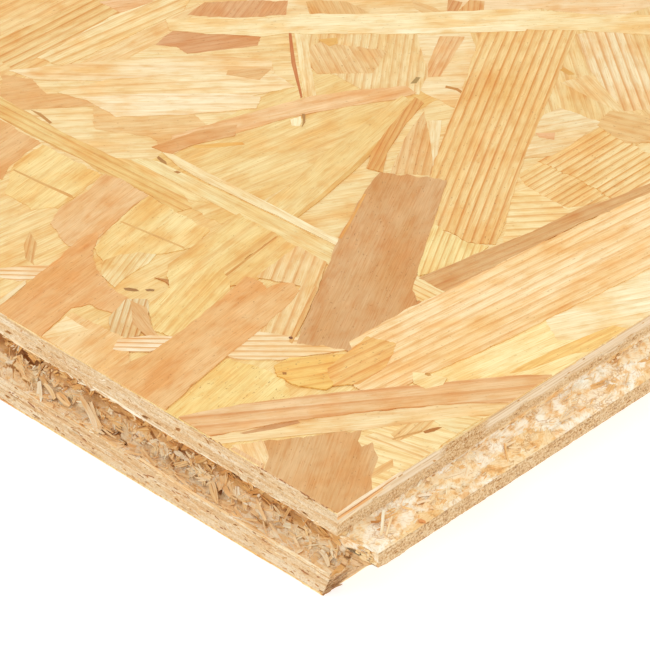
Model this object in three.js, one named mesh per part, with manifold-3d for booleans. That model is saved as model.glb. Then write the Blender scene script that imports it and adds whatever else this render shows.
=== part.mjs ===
// A tongue and groove OSB/3 flooring board, lying flat.
//
// The board is one pressed panel of wood strands, milled on all four edges. A long edge
// (+X) and a short edge (+Y) carry a tongue, and the opposite two edges (-X and -Y) carry
// the groove that the next board's tongue seats in. Millimetres, +Z up, with the origin at
// the middle of the underside of the whole board, tongues included.

import * as THREE from 'three';
import * as BufferGeometryUtils from 'three/addons/utils/BufferGeometryUtils.js';
import Module from 'manifold-3d';

// The size that one board covers once it is laid: its upper face, without the tongues.
const coverLength = 2500;
const coverWidth = 675;
const boardThickness = 22;

// The tongue, as it stands out of the upper shoulder.
const tongueLength = 6.0;
const tongueRootThickness = 10.0;
const tongueNoseThickness = 3.4;
const tongueNoseRadius = 0.5;

// The play between a tongue and the groove that it seats in.
const flankClearance = 0.2;
const noseClearance = 0.5;
const grooveCornerRadius = 0.5;

// Below the tongue the shoulder stands back, and leans in towards the underside, so that
// the joint always closes at the upper face first.
const lowerShoulderSetback = 2.0;
const lowerShoulderRelief = 1.8;

const arcSegments = 3;

const STRAND_WOOD = { color: 0xe2b57c, roughness: 0.72, metalness: 0.0 };

// Tongue and groove share one centre line and one flank slope, so they always mate.
const jointHeight = boardThickness / 2;
const flankSlope = (tongueRootThickness - tongueNoseThickness) / 2 / tongueLength;
const grooveDepth = tongueLength + noseClearance;
const grooveMouthHalf = tongueRootThickness / 2 + flankClearance;
const grooveFloorHalf = grooveMouthHalf - flankSlope * grooveDepth;

/** A point of an edge profile: how far across the board, how high, and how it is rounded. */
function corner(across, height, radius = 0) {
  return { at: new THREE.Vector2(across, height), radius };
}

/** Ends a line just short of a corner and turns it through an arc of the corner's radius. */
function turnCorner(shape, before, { at, radius }, after) {
  const back = before.clone().sub(at).normalize();
  const onward = after.clone().sub(at).normalize();
  const halfAngle = Math.acos(back.dot(onward)) / 2;
  const tangent = radius / Math.tan(halfAngle);
  const toCentre = back.clone().add(onward).setLength(radius / Math.sin(halfAngle));
  const centre = at.clone().add(toCentre);
  const start = at.clone().addScaledVector(back, tangent);
  const end = at.clone().addScaledVector(onward, tangent);
  const startAngle = Math.atan2(start.y - centre.y, start.x - centre.x);
  const endAngle = Math.atan2(end.y - centre.y, end.x - centre.x);
  const turnsRight = back.cross(onward) > 0;
  shape.lineTo(start.x, start.y);
  shape.absarc(centre.x, centre.y, radius, startAngle, endAngle, turnsRight);
}

/** A closed outline through the corners, each with its own rounding. */
function outlineThrough(corners) {
  const shape = new THREE.Shape();
  shape.moveTo(corners[0].at.x, corners[0].at.y);
  for (let i = 1; i < corners.length; i += 1) {
    const next = corners[(i + 1) % corners.length].at;
    if (corners[i].radius > 0) {
      turnCorner(shape, corners[i - 1].at, corners[i], next);
    } else {
      shape.lineTo(corners[i].at.x, corners[i].at.y);
    }
  }
  shape.closePath();
  return shape;
}

/**
 * The board's section across two opposite edges: the groove between its two lips on the
 * low side, and the tongue between its two shoulders on the high side.
 */
function milledSection(coverSize) {
  const lipFace = -(coverSize + tongueLength) / 2;
  const shoulder = lipFace + coverSize;
  const nose = shoulder + tongueLength;
  const grooveFloor = lipFace + grooveDepth;
  const lowerShoulder = shoulder - lowerShoulderSetback;
  const rootHalf = tongueRootThickness / 2;
  const noseHalf = tongueNoseThickness / 2;
  const rootUnderside = jointHeight - rootHalf - flankSlope * lowerShoulderSetback;
  return outlineThrough([
    corner(lipFace, 0),
    corner(lowerShoulder - lowerShoulderRelief, 0),
    corner(lowerShoulder, rootUnderside),
    corner(nose, jointHeight - noseHalf, tongueNoseRadius),
    corner(nose, jointHeight + noseHalf, tongueNoseRadius),
    corner(shoulder, jointHeight + rootHalf),
    corner(shoulder, boardThickness),
    corner(lipFace, boardThickness),
    corner(lipFace, jointHeight + grooveMouthHalf),
    corner(grooveFloor, jointHeight + grooveFloorHalf, grooveCornerRadius),
    corner(grooveFloor, jointHeight - grooveFloorHalf, grooveCornerRadius),
    corner(lipFace, jointHeight - grooveMouthHalf),
  ]);
}

/** Sweeps a milled section along the board, as a cutter runs along a pair of edges. */
function sweepAlong(section, sweepLength, across, sweep) {
  const geometry = new THREE.ExtrudeGeometry(section, {
    depth: sweepLength,
    bevelEnabled: false,
    curveSegments: arcSegments,
  });
  geometry.translate(0, 0, -sweepLength / 2);
  const upward = new THREE.Vector3(0, 0, 1);
  geometry.applyMatrix4(new THREE.Matrix4().makeBasis(across, upward, sweep));
  return geometry;
}

const wasm = await Module();
wasm.setup();

/** The solid that a closed geometry bounds. */
function solidOf(geometry) {
  const bare = geometry.clone();
  bare.deleteAttribute('normal');
  bare.deleteAttribute('uv');
  const merged = BufferGeometryUtils.mergeVertices(bare);
  return new wasm.Manifold(new wasm.Mesh({
    numProp: 3,
    vertProperties: new Float32Array(merged.attributes.position.array),
    triVerts: new Uint32Array(merged.index.array),
  }));
}

/** The geometry of a solid, with flat faces. */
function geometryOf(solid) {
  const mesh = solid.getMesh();
  const geometry = new THREE.BufferGeometry();
  geometry.setAttribute('position', new THREE.BufferAttribute(mesh.vertProperties, 3));
  geometry.setIndex(new THREE.BufferAttribute(mesh.triVerts, 1));
  geometry.computeVertexNormals();
  return geometry;
}

/**
 * The whole board. One pass of the cutters mills the long edges and a second pass mills the
 * short ones, each from end to end. What both passes leave standing is the board: tongues
 * meet in a pyramid at one corner, and each groove runs out through the end of a tongue.
 */
function milledBoard() {
  const alongX = new THREE.Vector3(1, 0, 0);
  const alongY = new THREE.Vector3(0, 1, 0);
  const overallLength = coverLength + tongueLength;
  const overallWidth = coverWidth + tongueLength;
  const longEdges = sweepAlong(
    milledSection(coverWidth), overallLength, alongX, alongY.clone().negate());
  const shortEdges = sweepAlong(
    milledSection(coverLength), overallWidth, alongY, alongX);
  return geometryOf(solidOf(longEdges).intersect(solidOf(shortEdges)));
}

const board = new THREE.Mesh(milledBoard(), new THREE.MeshStandardMaterial(STRAND_WOOD));
board.name = 'osb_panel';

const part = new THREE.Group();
part.add(board);

export default part;
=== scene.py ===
import math
import random
from collections import namedtuple
from functools import partial

import bmesh
import bpy
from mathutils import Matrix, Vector, geometry, noise


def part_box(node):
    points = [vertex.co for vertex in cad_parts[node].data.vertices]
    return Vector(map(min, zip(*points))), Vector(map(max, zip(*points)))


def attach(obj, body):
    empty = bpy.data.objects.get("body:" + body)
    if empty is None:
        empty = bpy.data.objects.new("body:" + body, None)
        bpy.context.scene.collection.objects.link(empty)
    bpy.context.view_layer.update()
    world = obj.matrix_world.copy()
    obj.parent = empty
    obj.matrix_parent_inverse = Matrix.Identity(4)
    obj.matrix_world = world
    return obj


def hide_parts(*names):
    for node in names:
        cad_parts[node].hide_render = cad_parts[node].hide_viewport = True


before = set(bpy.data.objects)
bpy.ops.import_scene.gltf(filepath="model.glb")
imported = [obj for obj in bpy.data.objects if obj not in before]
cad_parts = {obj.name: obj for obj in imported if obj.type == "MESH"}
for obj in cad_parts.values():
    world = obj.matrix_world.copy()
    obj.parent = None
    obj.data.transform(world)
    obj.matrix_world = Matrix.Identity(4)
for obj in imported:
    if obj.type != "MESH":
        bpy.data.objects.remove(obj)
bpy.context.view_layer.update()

bl_info = {
    "name": "Tongue and Groove Strand Board",
    "version": (1, 0, 0),
    "blender": (4, 5, 0),
    "location": "View3D > Sidebar > Strand Board",
    "description": "Dresses a milled oriented strand board with pressed strands and torn edges",
    "category": "Add Mesh",
}

# Sizes in this file are millimetres, as on the saw bench. Blender's are metres.
MM = 0.001

# The board's own edges, from the frame. The groove faces look along -X and -Y, and the
# shoulders stand back from the noses of the tongues along +X and +Y.
BOARD_LOW, BOARD_HIGH = (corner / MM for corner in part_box("osb_panel"))
TONGUE = 6.0
SHOULDER_X = BOARD_HIGH.x - TONGUE
SHOULDER_Y = BOARD_HIGH.y - TONGUE
LIP_X = BOARD_LOW.x
LIP_Y = BOARD_LOW.y
THICKNESS = BOARD_HIGH.z
MID_HEIGHT = THICKNESS / 2
# How far the shoulders stand back on the lower face.
LOWER_SETBACK = 3.8

# The groove between its two lips: its mouth, how its flanks close in and its floor's depth.
GROOVE_MOUTH_LOW = 5.8
GROOVE_MOUTH_HIGH = 16.2
FLANK_SLOPE = 0.55
GROOVE_DEPTH = 6.5

# Skins of flat strands cover the core on both faces.
CORE_TOP = THICKNESS - 0.6
CORE_BOTTOM = 0.6

# How far from the show corner the milled edges carry their full torn detail.
DETAIL_REACH = 92.0
# Which of the random frayings the show corner's strands take.
SHOW_SEED = 3
# Where the long edge's shoulder has chipped to the top, from the groove's lip.
CHIPPED_EDGE = (26.5, 41.0)


def linear(hex_colour):
    """An sRGB hex colour as the linear RGBA that Blender's sockets take."""
    value = int(hex_colour.lstrip("#"), 16)
    channels = ((value >> 16 & 255) / 255, (value >> 8 & 255) / 255, (value & 255) / 255)
    return tuple(
        c / 12.92 if c <= 0.04045 else ((c + 0.055) / 1.055) ** 2.4 for c in channels) + (1.0,)


def colour_property(name, description, hex_colour):
    """A colour swatch in the sidebar."""
    return bpy.props.FloatVectorProperty(
        name=name, description=description, subtype="COLOR", size=4, min=0.0, max=1.0,
        default=linear(hex_colour))


def length_property(name, description, millimetres):
    """A length field in the sidebar, in metres as Blender keeps it."""
    return bpy.props.FloatProperty(
        name=name, description=description, subtype="DISTANCE", unit="LENGTH", min=0.0,
        default=millimetres * MM)


# ---------------------------------------------------------------- settings


class StrandSettings(bpy.types.PropertyGroup):
    """The flat strands of both faces."""

    count: bpy.props.IntProperty(
        name="Strands", description="How many strands are laid on one face", min=100,
        default=4200)
    length: length_property("Length", "Usual length of a strand along its grain", 104.0)
    width: length_property("Width", "Usual width of a strand across its grain", 17.0)
    spread: bpy.props.FloatProperty(
        name="Spread", description="How far strands stray from the board's length",
        subtype="ANGLE", default=math.radians(34))
    thickness: length_property("Thickness", "Thickness of one pressed strand", 0.32)
    seed: bpy.props.IntProperty(
        name="Seed", description="Which of the random layings is used", default=11)
    cream: colour_property("Cream", "Fresh sapwood of pine", "#f6dda6")
    pale: colour_property("Pale", "Palest spring wood", "#fae8bd")
    straw: colour_property("Straw", "Usual yellow sapwood", "#f0cf8f")
    tan: colour_property("Tan", "Heartwood and resin-soaked strands", "#e9b97f")
    brown: colour_property("Brown", "Brown strands of birch or stained pine", "#d9a670")
    amber: colour_property("Amber", "Resinous yellow strands", "#eebd6c")


class EdgeSettings(bpy.types.PropertyGroup):
    """The milled tongue and groove edges."""

    detail: length_property("Detail", "Mesh step on the edges at the show corner", 0.47)
    coarse: length_property("Coarse step", "Mesh step on the rest of the edges", 6.0)
    sawn_depth: length_property("Sawn depth", "How rough the sawn lips and shoulders are", 0.10)
    torn_depth: length_property("Torn depth", "How deep the tongue and the groove are torn", 1.0)
    fibres: bpy.props.FloatProperty(
        name="Fibres", min=0.0, default=1.0,
        description="How many torn fibres stand at the show corner, next to the usual number")
    seed: bpy.props.IntProperty(
        name="Seed", description="Which of the random tearings is used", min=1, default=5)


class StageSettings(bpy.types.PropertyGroup):
    """Floor, lights and camera."""

    camera_place: bpy.props.FloatVectorProperty(
        name="Camera", description="Where the camera stands", subtype="TRANSLATION",
        unit="LENGTH", size=3, default=(0.82883, -1.76573, 0.57669))
    azimuth: bpy.props.FloatProperty(
        name="Azimuth", description="Turn of the camera about the vertical", subtype="ANGLE",
        default=math.radians(44.13))
    elevation: bpy.props.FloatProperty(
        name="Elevation", description="How steeply the camera looks down", subtype="ANGLE",
        default=math.radians(35.78))
    lens: bpy.props.FloatProperty(
        name="Lens", description="Focal length in mm on a 36 mm sensor", default=276.9)
    floor_colour: colour_property("Floor", "Matt white studio floor", "#c9cacb")


# ---------------------------------------------------------------- materials


def add_node(tree, kind, links=None, stops=(), ease="LINEAR", **settings):
    """Adds a node with its settings, its inputs and, on a ramp, its stops.

    An input takes a number, an sRGB hex colour, a socket, or a node for its first output.
    """
    node = tree.nodes.new("ShaderNode" + kind)
    for key, value in settings.items():
        setattr(node, key, value)
    for socket, source in (links or {}).items():
        if isinstance(source, bpy.types.Node):
            source = next(output for output in source.outputs if output.enabled)
        if isinstance(source, bpy.types.NodeSocket):
            tree.links.new(source, node.inputs[socket])
            continue
        node.inputs[socket].default_value = linear(source) if isinstance(source, str) else source
    if stops:
        node.color_ramp.interpolation = ease
        while len(node.color_ramp.elements) < len(stops):
            node.color_ramp.elements.new(0.5)
        for element, (position, value) in zip(node.color_ramp.elements, stops):
            element.position = position
            element.color = linear(value) if isinstance(value, str) else (value,) * 3 + (1.0,)
    return node


def new_material(name):
    """An empty node material, and the function that adds nodes to it."""
    material = bpy.data.materials.new(name)
    material.use_nodes = True
    material.node_tree.nodes.clear()
    return material, partial(add_node, material.node_tree)


def pressed_pine_strand():
    """Pine strands, knife-cut and hot-pressed flat with a little wax and resin.

    It gives the eye a satin, slightly burnished grain: soft orange growth lines that fade in
    and stop sharply, hair-fine fibres, and small brown flecks that run with the grain.
    """
    material, add = new_material("pressed_pine_strand")
    grain, tone, figure = (
        add("Attribute", attribute_name=name) for name in ("grain", "tone", "figure"))
    along, across, seed = add("SeparateXYZ", {0: grain.outputs["Vector"]}).outputs
    marks = add("SeparateXYZ", {0: figure.outputs["Vector"]})
    ring_gap, ring_strength, fleck_strength = marks.outputs

    def streaks(length, width, shift, detail=2.0, stops=()):
        """Noise in streaks of a length and width in millimetres along the grain."""
        place = add("CombineXYZ", {
            0: add("Math", {0: along, 1: length}, operation="DIVIDE"),
            1: add("Math", {0: across, 1: width}, operation="DIVIDE"),
            2: add("Math", {0: seed, 1: shift}, operation="ADD")})
        texture = add("TexNoise", {
            "Vector": place, "Scale": 1.0, "Detail": detail, "Roughness": 0.55})
        return add("ValToRGB", {0: texture}, stops) if stops else texture

    # Growth rings: a saw wave across the grain that drifts along it.
    drift = add("Math", {0: streaks(110.0, 60.0, 3.1, 0.0), 1: 3.5}, operation="MULTIPLY")
    ring = add("Math", {0: across, 1: ring_gap}, operation="DIVIDE")
    phase = add("Math", {0: ring, 1: drift}, operation="ADD")
    late_wood = add("ValToRGB", {0: add("Math", {0: phase}, operation="FRACT")}, (
        (0.0, 0.0), (0.46, 0.05), (0.70, 0.45), (0.84, 1.0), (0.94, 0.85), (1.0, 0.0)), "EASE")
    patchy = streaks(24.0, 4.0, 9.7, stops=((0.3, 0.6), (0.6, 1.0)))
    contrast = add("Math", {0: ring_strength, 1: 1.5}, operation="POWER")
    rings = add("Math", {0: late_wood, 1: contrast}, operation="MULTIPLY")
    rings = add("Math", {0: rings, 1: patchy}, operation="MULTIPLY")
    # Fibres are about 0.05 mm wide: drawn at 0.24 mm, so that they show.
    fibres = streaks(5.0, 0.24, 1.3, 3.0)
    fibre_light = add("ValToRGB", {0: fibres}, ((0.28, "#f2e0c2"), (0.5, "#f9f8f4"), (0.72, 1.04)))
    hairs = streaks(7.0, 0.26, 6.6, 1.0, ((0.62, 0.0), (0.74, 0.5)))
    flecks = add("Math", {
        0: streaks(0.8, 0.4, 5.9, 1.0, ((0.69, 0.0), (0.76, 0.8))), 1: fleck_strength},
        operation="MULTIPLY")
    clouds = streaks(26.0, 9.0, 7.7, 3.0)
    cloud_amount = add("ValToRGB", {0: clouds}, ((0.42, 0.0), (0.75, 0.8)))
    mottle = streaks(5.0, 2.4, 14.3, 4.0, ((0.32, "#f1d7aa"), (0.47, "#fbfbf8"), (0.68, 1.06)))
    # Resin and heat have tinted the wood peach in soft patches.
    tinted = streaks(11.0, 6.0, 27.0, 4.0, ((0.48, 0.0), (0.66, 0.8)))
    # Bands of growth, weaker on strands with strong rings, which are calm between them.
    bands = streaks(30.0, 1.1, 4.4, 2.0, ((0.30, "#f0dab4"), (0.48, "#ffffff"), (0.72, 1.08)))
    calm = add("Math", {0: ring_strength, 1: -0.7, 2: 1.0}, operation="MULTIPLY_ADD")
    band_amount = add("Math", {
        0: streaks(34.0, 7.0, 21.0, stops=((0.38, 0.05), (0.62, 0.42))), 1: calm},
        operation="MULTIPLY")

    colour = tone.outputs["Color"]
    deeper = add("Mix", {0: 1.0, 6: colour, 7: "#e6b678"}, data_type="RGBA", blend_type="MULTIPLY")
    # Each coat lies on the wood's own tone by its amount, one after the other.
    for amount, coat, mode in (
            (cloud_amount, "#f6dcae", "MULTIPLY"), (rings, deeper, "MIX"),
            (0.5, mottle, "MULTIPLY"), (1.0, fibre_light, "MULTIPLY"),
            (tinted, "#fae2bf", "MULTIPLY"), (band_amount, bands, "MULTIPLY"),
            (hairs, deeper, "MIX"), (flecks, "#a46a2c", "MIX")):
        colour = add("Mix", {0: amount, 6: colour, 7: coat}, data_type="RGBA", blend_type=mode)

    relief = add("Math", {0: fibres, 1: 0.5}, operation="MULTIPLY")
    relief = add("Math", {0: rings, 1: 0.6, 2: relief}, operation="MULTIPLY_ADD")
    relief = add("Math", {0: flecks, 1: -0.8, 2: relief}, operation="MULTIPLY_ADD")
    wood = add("BsdfPrincipled", {
        "Base Color": colour, "IOR": 1.46,
        "Roughness": add("ValToRGB", {0: clouds}, ((0.3, 0.52), (0.7, 0.68))),
        "Normal": add("Bump", {"Height": relief, "Strength": 0.55, "Distance": 0.12 * MM})})
    add("OutputMaterial", {"Surface": wood})
    return material


def milled_strand_core():
    """The board's core, milled with a cutter: strands of pine cut through at every angle.

    It gives the eye thin pressed layers of cream and beige, each with its own run of fibres,
    cut pores and resin as short brown streaks, brown painted shadow lines where flakes lifted, and
    golden to brown painted shade in the cracks where fibres tore and deep in the groove.
    """
    material, add = new_material("milled_strand_core")
    place = add("TexCoord").outputs["Object"]
    painted_shade, torn, facet, ridge, crumbled, burnished = (
        add("Attribute", attribute_name=name).outputs["Fac"]
        for name in ("painted_shade", "torn", "facet", "ridge", "crumbled", "burnished"))

    def grid(x, y, z, shift=0.0):
        """The inputs of a Mapping that make one unit a size of so many millimetres each way."""
        return {
            "Location": (shift, shift * 0.7, shift * 1.3),
            "Scale": (1 / (x * MM), 1 / (y * MM), 1 / (z * MM))}

    def speckle(vector, x, y, z, shift, detail=2.0, stops=()):
        """Noise in grains of so many millimetres each way."""
        mapped = add("Mapping", {"Vector": vector, **grid(x, y, z, shift)})
        texture = add("TexNoise", {
            "Vector": mapped, "Scale": 1.0, "Detail": detail, "Roughness": 0.6})
        return add("ValToRGB", {0: texture}, stops) if stops else texture

    # Each cell is one buried strand, flat and long, bent a little by the press.
    warp = add("TexNoise", {
        "Vector": add("Mapping", {"Vector": place, **grid(13.0, 13.0, 5.0)}), "Scale": 1.0,
        "Detail": 2.0}).outputs["Color"]
    bent = add("VectorMath", {0: warp, 1: (0.8, 0.8, 2.2)}, operation="MULTIPLY")
    layered = add("VectorMath", {
        0: add("Mapping", {"Vector": place, **grid(8.0, 8.0, 0.8)}), 1: bent}, operation="ADD")
    cells = add("TexVoronoi", {"Vector": layered, "Scale": 1.0, "Randomness": 1.0}, feature="F1")
    luck = add("SeparateColor", {0: cells.outputs["Color"]})
    has_facet = add("Math", {0: facet, 1: 0.01}, operation="GREATER_THAN")
    # A torn facet's fibres run the way its ridges do, see torn_relief.
    any_way = add("Math", {0: luck.outputs[1], 1: 3.1}, operation="MULTIPLY")
    angle = add("Mix", {0: has_facet, 2: any_way, 3: ridge})
    turned = add("VectorRotate", {"Vector": place, "Angle": angle}, rotation_type="Z_AXIS")

    sawn_wood = add("ValToRGB", {0: luck}, (
        (0.0, "#e8cba2"), (0.3, "#f0dcb9"), (0.6, "#f7e8cd"), (0.8, "#f2d8b0"), (1.0, "#e4be8e")))
    # Where the edge is torn in full detail, each facet's own number picks its wood.
    torn_wood = add("ValToRGB", {0: add("Mix", {0: has_facet, 2: luck.outputs[0], 3: facet})}, (
        (0.0, "#f4cf94"), (0.22, "#fbe2b6"), (0.42, "#fff6e2"), (0.62, "#fff0d6"),
        (0.82, "#fadca6"), (1.0, "#fff8ea")))
    clouds = speckle(place, 6.0, 6.0, 2.0, 3.0, 3.0, ((0.35, "#efd2ac"), (0.62, "#ffffff")))
    cloud_amount = add("Math", {0: torn, 1: -0.25, 2: 0.55}, operation="MULTIPLY_ADD")
    fibres = speckle(turned, 4.0, 0.30, 0.24, 5.0, 3.0)
    fibre_light = add("ValToRGB", {0: fibres}, ((0.28, "#ead2b2"), (0.5, "#ffffff")))
    # Torn wood is golden where the fibres have opened, in soft patches.
    opened = speckle(
        place, 2.6, 2.6, 1.3, 41.0, 4.0, ((0.36, "#eec080"), (0.45, "#fdecd0"), (0.53, "#ffffff")))
    opened_amount = add("Math", {0: torn, 1: 0.8}, operation="MULTIPLY")
    layers = speckle(place, 26.0, 26.0, 0.42, 71.0, stops=(
        (0.36, "#dcc19a"), (0.46, "#f8efe0"), (0.56, "#ffffff")))
    layer_amount = add("Math", {0: 0.9, 1: torn}, operation="SUBTRACT")
    layer_amount = add("Math", {0: layer_amount, 1: crumbled}, operation="SUBTRACT")
    # Cut pores and the seams between strands.
    pores = speckle(turned, 1.1, 0.28, 0.20, 9.0, 1.0, ((0.60, 0.0), (0.70, 1.0)))
    seams = speckle(place, 5.0, 5.0, 0.22, 17.0, 2.0, ((0.62, 0.0), (0.72, 1.0)))
    seams = add("Math", {0: seams, 1: 0.8}, operation="MULTIPLY")
    marks = add("Math", {0: pores, 1: seams}, operation="MAXIMUM")
    mark_amount = add("Math", {0: torn, 1: -0.20, 2: 0.34}, operation="MULTIPLY_ADD")
    mark_amount = add("Math", {0: crumbled, 1: 0.6, 2: mark_amount}, operation="MULTIPLY_ADD")
    mark_amount = add("Math", {0: marks, 1: mark_amount}, operation="MULTIPLY")
    # Painted shadow: brown strokes where flakes have lifted, the shade under their edges: contour
    # lines of a noise, kept in patches.
    lift = add("Math", {0: speckle(place, 3.2, 4.4, 1.9, 61.0, 3.0), 1: 0.5}, operation="SUBTRACT")
    lift = add("Math", {0: lift}, operation="ABSOLUTE")
    lifted_flake_shadow = add("Math", {
        0: add("ValToRGB", {0: lift}, ((0.0, 0.85), (0.028, 0.0))),
        1: speckle(place, 4.0, 7.0, 2.2, 87.0, stops=((0.47, 0.0), (0.58, 0.8)))},
        operation="MULTIPLY")
    lifted_flake_shadow = add("Math", {0: lifted_flake_shadow, 1: torn}, operation="MULTIPLY")
    # Crumbled wood is grains of two sizes.
    coarse = add("Math", {0: speckle(place, 2.4, 2.4, 0.6, 27.0), 1: 0.3}, operation="MULTIPLY")
    grains = add("Math", {
        0: speckle(place, 0.44, 0.44, 0.36, 21.0), 1: 0.7, 2: coarse}, operation="MULTIPLY_ADD")
    crumbs = add("ValToRGB", {0: grains}, (
        (0.33, "#875222"), (0.42, "#b98245"), (0.50, "#d9ae79"), (0.66, "#edd2a7")))
    pit_amount = add("Math", {0: crumbled, 1: 0.15}, operation="ADD")
    pit_amount = add("Math", {
        0: speckle(place, 0.8, 0.8, 0.40, 12.0, 1.0, ((0.70, 0.0), (0.77, 1.0))), 1: pit_amount},
        operation="MULTIPLY")
    # The saw burnishes the dense skin to greyish beige, in long streaks.
    burnish = speckle(place, 34.0, 34.0, 0.5, 83.0, 3.0, (
        (0.36, "#c9a478"), (0.46, "#dfbf96"), (0.58, "#ebd3b3")))
    # Painted shade: deeper in the groove and in its cracks and pits the wood is painted more
    # golden, and brown at the bottom.
    hollow_shade = add("ValToRGB", {0: painted_shade}, ((0.2, "#fbe1b8"), (0.42, "#dda45e"), (0.64, "#a8692b")))
    hollow_shade_amount = add("ValToRGB", {0: painted_shade}, ((0.0, 0.0), (0.55, 0.92)))

    colour = sawn_wood
    # Each coat lies on the sawn wood by its amount, one after the other.
    for amount, coat, mode in (
            (torn, torn_wood, "MIX"), (cloud_amount, clouds, "MULTIPLY"),
            (1.0, fibre_light, "MULTIPLY"), (opened_amount, opened, "MULTIPLY"),
            (layer_amount, layers, "MULTIPLY"), (mark_amount, "#bf874b", "MIX"),
            (lifted_flake_shadow, "#c08442", "MIX"), (crumbled, crumbs, "MIX"),
            (pit_amount, "#94633a", "MIX"), (burnished, burnish, "MIX"),
            (hollow_shade_amount, hollow_shade, "MIX")):
        colour = add("Mix", {0: amount, 6: colour, 7: coat}, data_type="RGBA", blend_type=mode)

    grit = add("Math", {
        0: speckle(place, 0.45, 0.45, 0.4, 31.0), 1: crumbled}, operation="MULTIPLY")
    grit = add("Math", {0: grit, 1: 1.5}, operation="MULTIPLY")
    scored = add("Math", {0: marks, 1: -0.5, 2: fibres}, operation="MULTIPLY_ADD")
    rough = add("Math", {0: 1.0, 1: burnished}, operation="SUBTRACT")
    relief = add("Math", {0: scored, 1: rough, 2: grit}, operation="MULTIPLY_ADD")
    wood = add("BsdfPrincipled", {
        "Base Color": colour, "IOR": 1.46, "Roughness": 0.8,
        "Normal": add("Bump", {"Height": relief, "Strength": 0.6, "Distance": 0.2 * MM})})
    add("OutputMaterial", {"Surface": wood})
    return material


def matt_studio_floor(colour):
    """A backlit white acrylic sheet, matt, so that it has no reflections and hardly any shadow."""
    material, add = new_material("matt_studio_floor")
    sheet = add("BsdfPrincipled", {
        "Base Color": tuple(colour), "Roughness": 0.9, "Specular IOR Level": 0.0,
        "Emission Color": (1.0, 1.0, 1.0, 1.0), "Emission Strength": 0.66})
    add("OutputMaterial", {"Surface": sheet})
    return material


def shared_material(maker):
    """Makes a material the first time that it is asked for."""
    found = bpy.data.materials.get(maker.__name__)
    return found or maker()


# ---------------------------------------------------------------- strands

# How far apart in the wood's pattern two strands are whose seeds differ by one.
ALONG_STEP = 37.0
ACROSS_STEP = 11.0
# From this width on a strand's outline frays fully.
FRAY_WIDTH = 7.0
# Strands stay at least this far inside the board's faces.
FACE_MARGIN = 0.02
# In metres: vertices this near to one another, or to a cut, are at one place.
TOUCHING = 1e-6

# How the random strands' lengths and widths vary, and between which limits.
LENGTH_SPREAD = 24.0
SHORTEST = 45.0
WIDTH_SPREAD = 0.38
NARROWEST, WIDEST = 6.0, 32.0
# How far outside the core's face they lie, and how far where the show corner's strands cover them.
SKIN_LEVELS = (0.18, 0.42)
COVERED_LEVELS = (0.005, 0.045)
# Each face's strands are shared out over this many pieces.
PIECES_PER_FACE = 3

# What the show corner's strands cover of the upper face: they reach so far past both edges, so
# much further in along one edge than along the other, and so far in along both together.
SHOW_PAST, SHOW_BAND, SHOW_INWARD = 30, 99, 252


class StrandMesh:
    """A mesh that flat strands are laid into, with what each one's wood looks like."""

    def __init__(self):
        self.bm = bmesh.new()
        self.grain = self.bm.verts.layers.float_vector.new("grain")
        self.tone = self.bm.verts.layers.float_color.new("tone")
        self.figure = self.bm.verts.layers.float_vector.new("figure")
        self.fray = self.bm.verts.layers.float_vector.new("fray")

    def lay(self, outline, grain_angle, height, tone, figure, seed,
            slope=(0.0, 0.0), face_up=True):
        """Lays one strand: a flat face through the outline, a list of points in millimetres."""
        middle = sum((Vector(point) for point in outline), Vector((0.0, 0.0))) / len(outline)
        along = Vector((math.cos(grain_angle), math.sin(grain_angle)))
        across = Vector((-along.y, along.x))
        verts = []
        for point in outline:
            offset = Vector(point) - middle
            u, v = offset.dot(along), offset.dot(across)
            z = height + slope[0] * u + slope[1] * v
            z = min(max(z, FACE_MARGIN), THICKNESS - FACE_MARGIN)
            vert = self.bm.verts.new((point[0] * MM, point[1] * MM, z * MM))
            vert[self.grain] = (u + ALONG_STEP * seed, v + ACROSS_STEP * seed, seed)
            vert[self.tone] = tone
            vert[self.figure] = figure
            verts.append(vert)
        face = self.bm.faces.new(verts)
        face.normal_update()
        # Narrow strands fray less.
        amount = min(1.0, 2 * face.calc_area() / face.calc_perimeter() / (FRAY_WIDTH * MM))
        for vert in verts:
            vert[self.fray] = (*along, amount)
        if (face.normal.z > 0) != face_up:
            face.normal_flip()

    def trim_to_board(self, setback=0.0):
        """Saws off what hangs over the board, as its edges are cut after pressing.

        The setback is how far the shoulders stand back on this face.
        """
        sides = (
            (0, SHOULDER_X - setback, 1), (0, LIP_X, -1),
            (1, SHOULDER_Y - setback, 1), (1, LIP_Y, -1))
        for axis, limit, way in sides:
            outward = Vector((0, 0, 0))
            outward[axis] = way
            bmesh.ops.bisect_plane(
                self.bm, geom=self.bm.verts[:] + self.bm.edges[:] + self.bm.faces[:],
                plane_co=Vector.Fill(3, limit) * MM, plane_no=outward, clear_outer=True)
        for vert in self.bm.verts:
            # Cut ends stand back by a hair, each strand by its own amount.
            back = (0.02 + 0.1 * abs(math.sin(vert[self.grain][2] * 57.3))) * MM
            for axis, limit, way in sides:
                if abs(vert.co[axis] - limit * MM) < TOUCHING:
                    vert.co[axis] -= way * back

    def thicken(self, thickness):
        """Gives every strand its thickness."""
        self.bm.verts.layers.float_vector.remove(self.fray)
        bmesh.ops.solidify(self.bm, geom=self.bm.faces[:], thickness=thickness)

    def finish(self, name, thickness):
        """Makes the piece out of everything laid so far."""
        self.thicken(thickness)
        board_piece(name, self.bm, pressed_pine_strand)


def board_piece(name, bm, material):
    """Makes a piece that rides on the board and takes its finish, and frees the bmesh."""
    mesh = bpy.data.meshes.new(name)
    bm.to_mesh(mesh)
    bm.free()
    mesh.materials.append(shared_material(material))
    piece = bpy.data.objects.new(name, mesh)
    bpy.context.scene.collection.objects.link(piece)
    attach(piece, "root")
    return piece


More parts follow.
